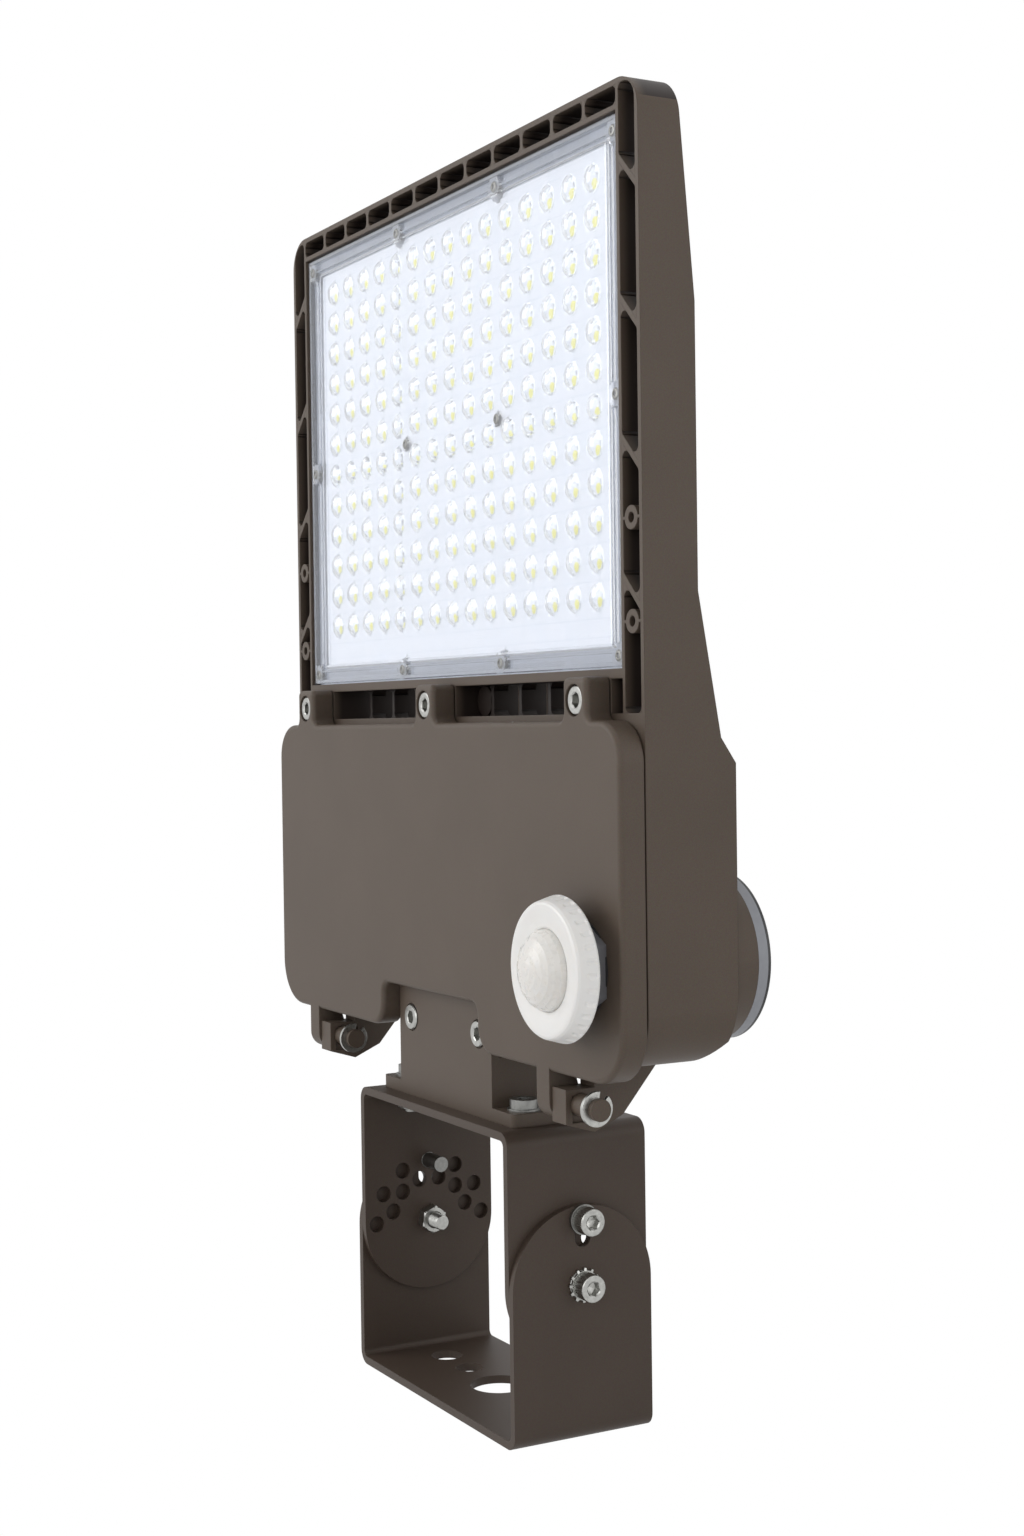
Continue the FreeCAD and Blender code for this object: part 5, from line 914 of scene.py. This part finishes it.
def notched_outline(angle):
    """Short round grip notches in the bezel's side."""
    wave = math.cos(BEZEL_NOTCHES * angle)
    return 1.0 - 0.028 * max(0.0, (wave - 0.35) / 0.65) ** 0.6


bezel_rings = [(0, -9.8 * MM), (STEM * 0.96, -9.8 * MM),
               (STEM, -9.0 * MM), (STEM, 4.4 * MM),
               (15.0 * MM, 4.8 * MM), (22.0 * MM, BEZEL_BACK - 0.6 * MM),
               (30.4 * MM, BEZEL_BACK), (31.6 * MM, BEZEL_BACK + 0.3 * MM),
               (32.0 * MM, BEZEL_BACK + 1.1 * MM),
               (31.8 * MM, BEZEL_BACK + 2.0 * MM, notched_outline),
               (31.1 * MM, BEZEL_BACK + 4.6 * MM, notched_outline),
               (30.6 * MM, BEZEL_BACK + 6.2 * MM),
               (29.9 * MM, BEZEL_FRONT - 1.4 * MM),
               (29.2 * MM, BEZEL_FRONT - 0.4 * MM),
               (28.2 * MM, BEZEL_FRONT), (26.5 * MM, BEZEL_FRONT - 0.1 * MM),
               (22.0 * MM, BEZEL_FRONT - 0.9 * MM),
               (19.0 * MM, BEZEL_FRONT - 1.2 * MM),
               (18.2 * MM, BEZEL_FRONT - 1.6 * MM),
               (17.9 * MM, BEZEL_FRONT - 2.4 * MM), (0, BEZEL_FRONT - 2.6 * MM)]
sensor_point = [((SENSOR_X, DOOR_FRONT, SENSOR_Z), (0, -1, 0))]
bezel_white = moulded_plastic("white_abs", "F4F3F1", "EFEDEA", 0.42, 0.7 * MM, 0.12, clear=0.25)
bezel = stamped("sensor_bezel", turned("bezel", bezel_rings, BEZEL_STEPS), sensor_point, bezel_white,
                turn=0.0)
settle(bezel, "cover", "white_plastic", "sensor_body")

DOME_RADIUS = 17.7 * MM
DOME_RISE = 10.6 * MM
DOME_SEAT = BEZEL_FRONT - 2.4 * MM
DOME_FOOT = BEZEL_FRONT - 1.6 * MM
DOME_RINGS = 14
DOME_GROOVE = 0.12 * MM
dome_rings = [(0, DOME_SEAT), (DOME_RADIUS, DOME_SEAT)]
for i in range(DOME_RINGS):
    lean = math.pi / 2 * i / DOME_RINGS
    groove = DOME_GROOVE * (i % 2)
    dome_rings.append((DOME_RADIUS * math.cos(lean) - groove * math.cos(lean),
                       DOME_FOOT + (DOME_RISE - groove) * math.sin(lean)))
dome_rings.append((0, DOME_FOOT + DOME_RISE))
dome_white = moulded_plastic("milky_polyethylene", "EFECE7", "E8E6E2", 0.28, 2.5 * MM, 0.1, clear=0.6)
dome = stamped("sensor_fresnel_dome", turned("dome", dome_rings, 72), sensor_point, dome_white, turn=0.0)
settle(dome, "cover", "dome", "sensor_dome")

NUT_FLATS = 19.75 * MM
nut_shape = [(STEM * 1.02, 0), (NUT_FLATS * 0.995, 0, hexagon_outline),
             (NUT_FLATS * 1.0, 0.4 * MM, hexagon_outline), (NUT_FLATS * 1.0, 3.7 * MM, hexagon_outline),
             (NUT_FLATS * 0.985, 4.3 * MM, hexagon_outline), (NUT_FLATS * 0.96, 4.5 * MM),
             (STEM * 1.02, 4.5 * MM)]
nylon = moulded_plastic("grey_nylon", "78787C", "6C6C70", 0.45, 0.6 * MM, 0.2)
nut = stamped("sensor_hex_nut", turned("big_nut", nut_shape, 72, closed=True), sensor_point, nylon,
              turn=0.0)
settle(nut, "cover", "grey_plastic", "sensor_nut")
seal_shape = [(STEM * 1.02, 0), (NUT_FLATS * 1.05, 0),
              (NUT_FLATS * 1.05, 0.6 * MM), (STEM * 1.02, 0.6 * MM)]
seal = stamped("sensor_seal", turned("seal", seal_shape, 72, closed=True), sensor_point, black_rubber,
               turn=0.0)
settle(seal, "cover", "rubber")
dress("sensor_locknut", nylon)

# ---------------------------------------------------------------- photocontrol receptacle
# A twist-lock receptacle of black phenolic on the round boss at the back, with a grey gasket
# ring that stands out of the boss all round.
dress("photocontrol_receptacle", moulded_plastic("black_phenolic", "1E1E20", "262628", 0.4, 0.6 * MM, 0.2))
dress("receptacle_gasket", soft_rubber("grey_gasket_rubber", "8E9096", "9A9CA2", 0.5))

# ---------------------------------------------------------------- driver and wiring parts
# Behind the cover: the driver in a drawn aluminium case, a surge protector potted in a black
# plastic box, and a terminal block of white nylon.
LINE_LENGTH = 60 * MM
LINE_GAP = 0.4 * MM


def brushed_aluminium(name):
    """Drawn aluminium sheet: fine straight lines along the case."""
    material, tree, skin = new_material(name)
    place = add_node(tree, "ShaderNodeTexCoord").outputs["Object"]
    drawn = add_node(tree, "ShaderNodeMapping", Vector=place,
                     Scale=(1 / LINE_LENGTH, 1 / LINE_GAP, 1 / LINE_GAP))
    lines = add_node(tree, "ShaderNodeTexNoise", Vector=drawn.outputs[0], Scale=1.0, Detail=3.0)
    tone = add_node(tree, "ShaderNodeMix", {"data_type": "RGBA"}, n0=lines.outputs["Fac"],
                    n6=colour("A4A6A8"), n7=colour("C2C4C6"))
    tree.links.new(tone.outputs[2], skin.inputs["Base Color"])
    skin.inputs["Metallic"].default_value = 1.0
    gloss = add_node(tree, "ShaderNodeMapRange", Value=lines.outputs["Fac"], To_Min=0.32, To_Max=0.5)
    tree.links.new(gloss.outputs[0], skin.inputs["Roughness"])
    bump = add_node(tree, "ShaderNodeBump", Height=lines.outputs["Fac"], Strength=0.1, Distance=0.04 * MM)
    tree.links.new(bump.outputs[0], skin.inputs["Normal"])
    return material


dress("led_driver", brushed_aluminium("brushed_aluminium"))
dress("surge_protector", moulded_plastic("black_abs", "202022", "2A2A2C", 0.45, 0.7 * MM, 0.25))
dress("terminal_block", moulded_plastic("white_nylon", "D9D8D2", "CFCEC8", 0.45, 0.7 * MM, 0.2))
dress("driver_screws", zinc)
